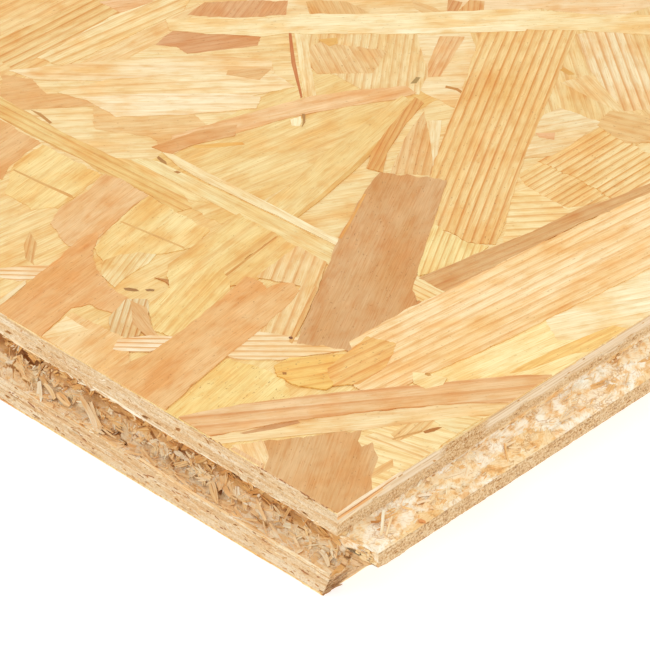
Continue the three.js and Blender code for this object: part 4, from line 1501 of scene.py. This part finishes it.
class OSB_OT_stage(bpy.types.Operator):
    """Set up the white floor, the soft lights and the camera"""

    bl_idname = "osb.stage"
    bl_label = "Stage"

    def execute(self, context):
        settings = context.scene.osb_stage
        bm = bmesh.new()
        bmesh.ops.create_grid(bm, x_segments=1, y_segments=1, size=60.0)
        mesh = bpy.data.meshes.new("studio_floor")
        bm.to_mesh(mesh)
        bm.free()
        mesh.materials.append(matt_studio_floor(settings.floor_colour))
        floor = bpy.data.objects.new("studio_floor", mesh)
        context.scene.collection.objects.link(floor)

        world = bpy.data.worlds.new("soft_white_room")
        world.use_nodes = True
        # A little less red, because the daylight about the board is cooler than its wood.
        sky = world.node_tree.nodes["Background"].inputs
        sky["Color"].default_value = (0.97, 1.0, 1.0, 1.0)
        sky["Strength"].default_value = 1.02
        context.scene.world = world
        add_softbox(context, "softbox_above", (0.2, -1.6, 2.6), (0.3, -1.2, 0.0), 1.6, 10.8)
        context.scene.view_settings.view_transform = "Standard"

        camera_data = bpy.data.cameras.new("studio_camera")
        camera_data.sensor_width = 36.0
        camera_data.lens = settings.lens
        camera_data.clip_start = 0.01
        camera_data.clip_end = 200.0
        camera = bpy.data.objects.new("studio_camera", camera_data)
        camera.location = settings.camera_place
        camera.rotation_euler = (math.radians(90) - settings.elevation, 0.0, settings.azimuth)
        context.scene.collection.objects.link(camera)
        context.scene.camera = camera
        return {"FINISHED"}


def add_softbox(context, name, place, target, size, power):
    """A square softbox that points at a target."""
    light = bpy.data.lights.new(name, "AREA")
    light.size = size
    light.energy = power
    lamp = bpy.data.objects.new(name, light)
    lamp.location = place
    lamp.rotation_euler = (Vector(target) - Vector(place)).to_track_quat("-Z", "Y").to_euler()
    context.scene.collection.objects.link(lamp)


# ---------------------------------------------------------------- sidebar


OPERATORS = (
    OSB_OT_milled_core, OSB_OT_torn_fibres, OSB_OT_face_strands, OSB_OT_show_corner, OSB_OT_stage)


class VIEW3D_PT_strand_board(bpy.types.Panel):
    """The strand board's pieces and sizes"""

    bl_label = "Strand Board"
    bl_space_type = "VIEW_3D"
    bl_region_type = "UI"
    bl_category = "Strand Board"

    def draw(self, context):
        for operator in OPERATORS:
            self.layout.operator(operator.bl_idname)
        scene = context.scene
        for settings in (scene.osb_strands, scene.osb_edges, scene.osb_stage):
            box = self.layout.box()
            for name in settings.bl_rna.properties.keys():
                if name not in ("rna_type", "name"):
                    box.prop(settings, name)


CLASSES = (StrandSettings, EdgeSettings, StageSettings, *OPERATORS, VIEW3D_PT_strand_board)


def register():
    """Adds the classes and the scene's settings to Blender."""
    for cls in CLASSES:
        bpy.utils.register_class(cls)
    bpy.types.Scene.osb_strands = bpy.props.PointerProperty(type=StrandSettings)
    bpy.types.Scene.osb_edges = bpy.props.PointerProperty(type=EdgeSettings)
    bpy.types.Scene.osb_stage = bpy.props.PointerProperty(type=StageSettings)


def unregister():
    """Takes them away again."""
    del bpy.types.Scene.osb_stage
    del bpy.types.Scene.osb_edges
    del bpy.types.Scene.osb_strands
    for cls in reversed(CLASSES):
        bpy.utils.unregister_class(cls)


def main():
    """Builds every piece and the stage."""
    register()
    bpy.ops.osb.milled_core()
    bpy.ops.osb.torn_fibres()
    bpy.ops.osb.face_strands()
    bpy.ops.osb.show_corner()
    bpy.ops.osb.stage()


if __name__ == "__main__":
    main()
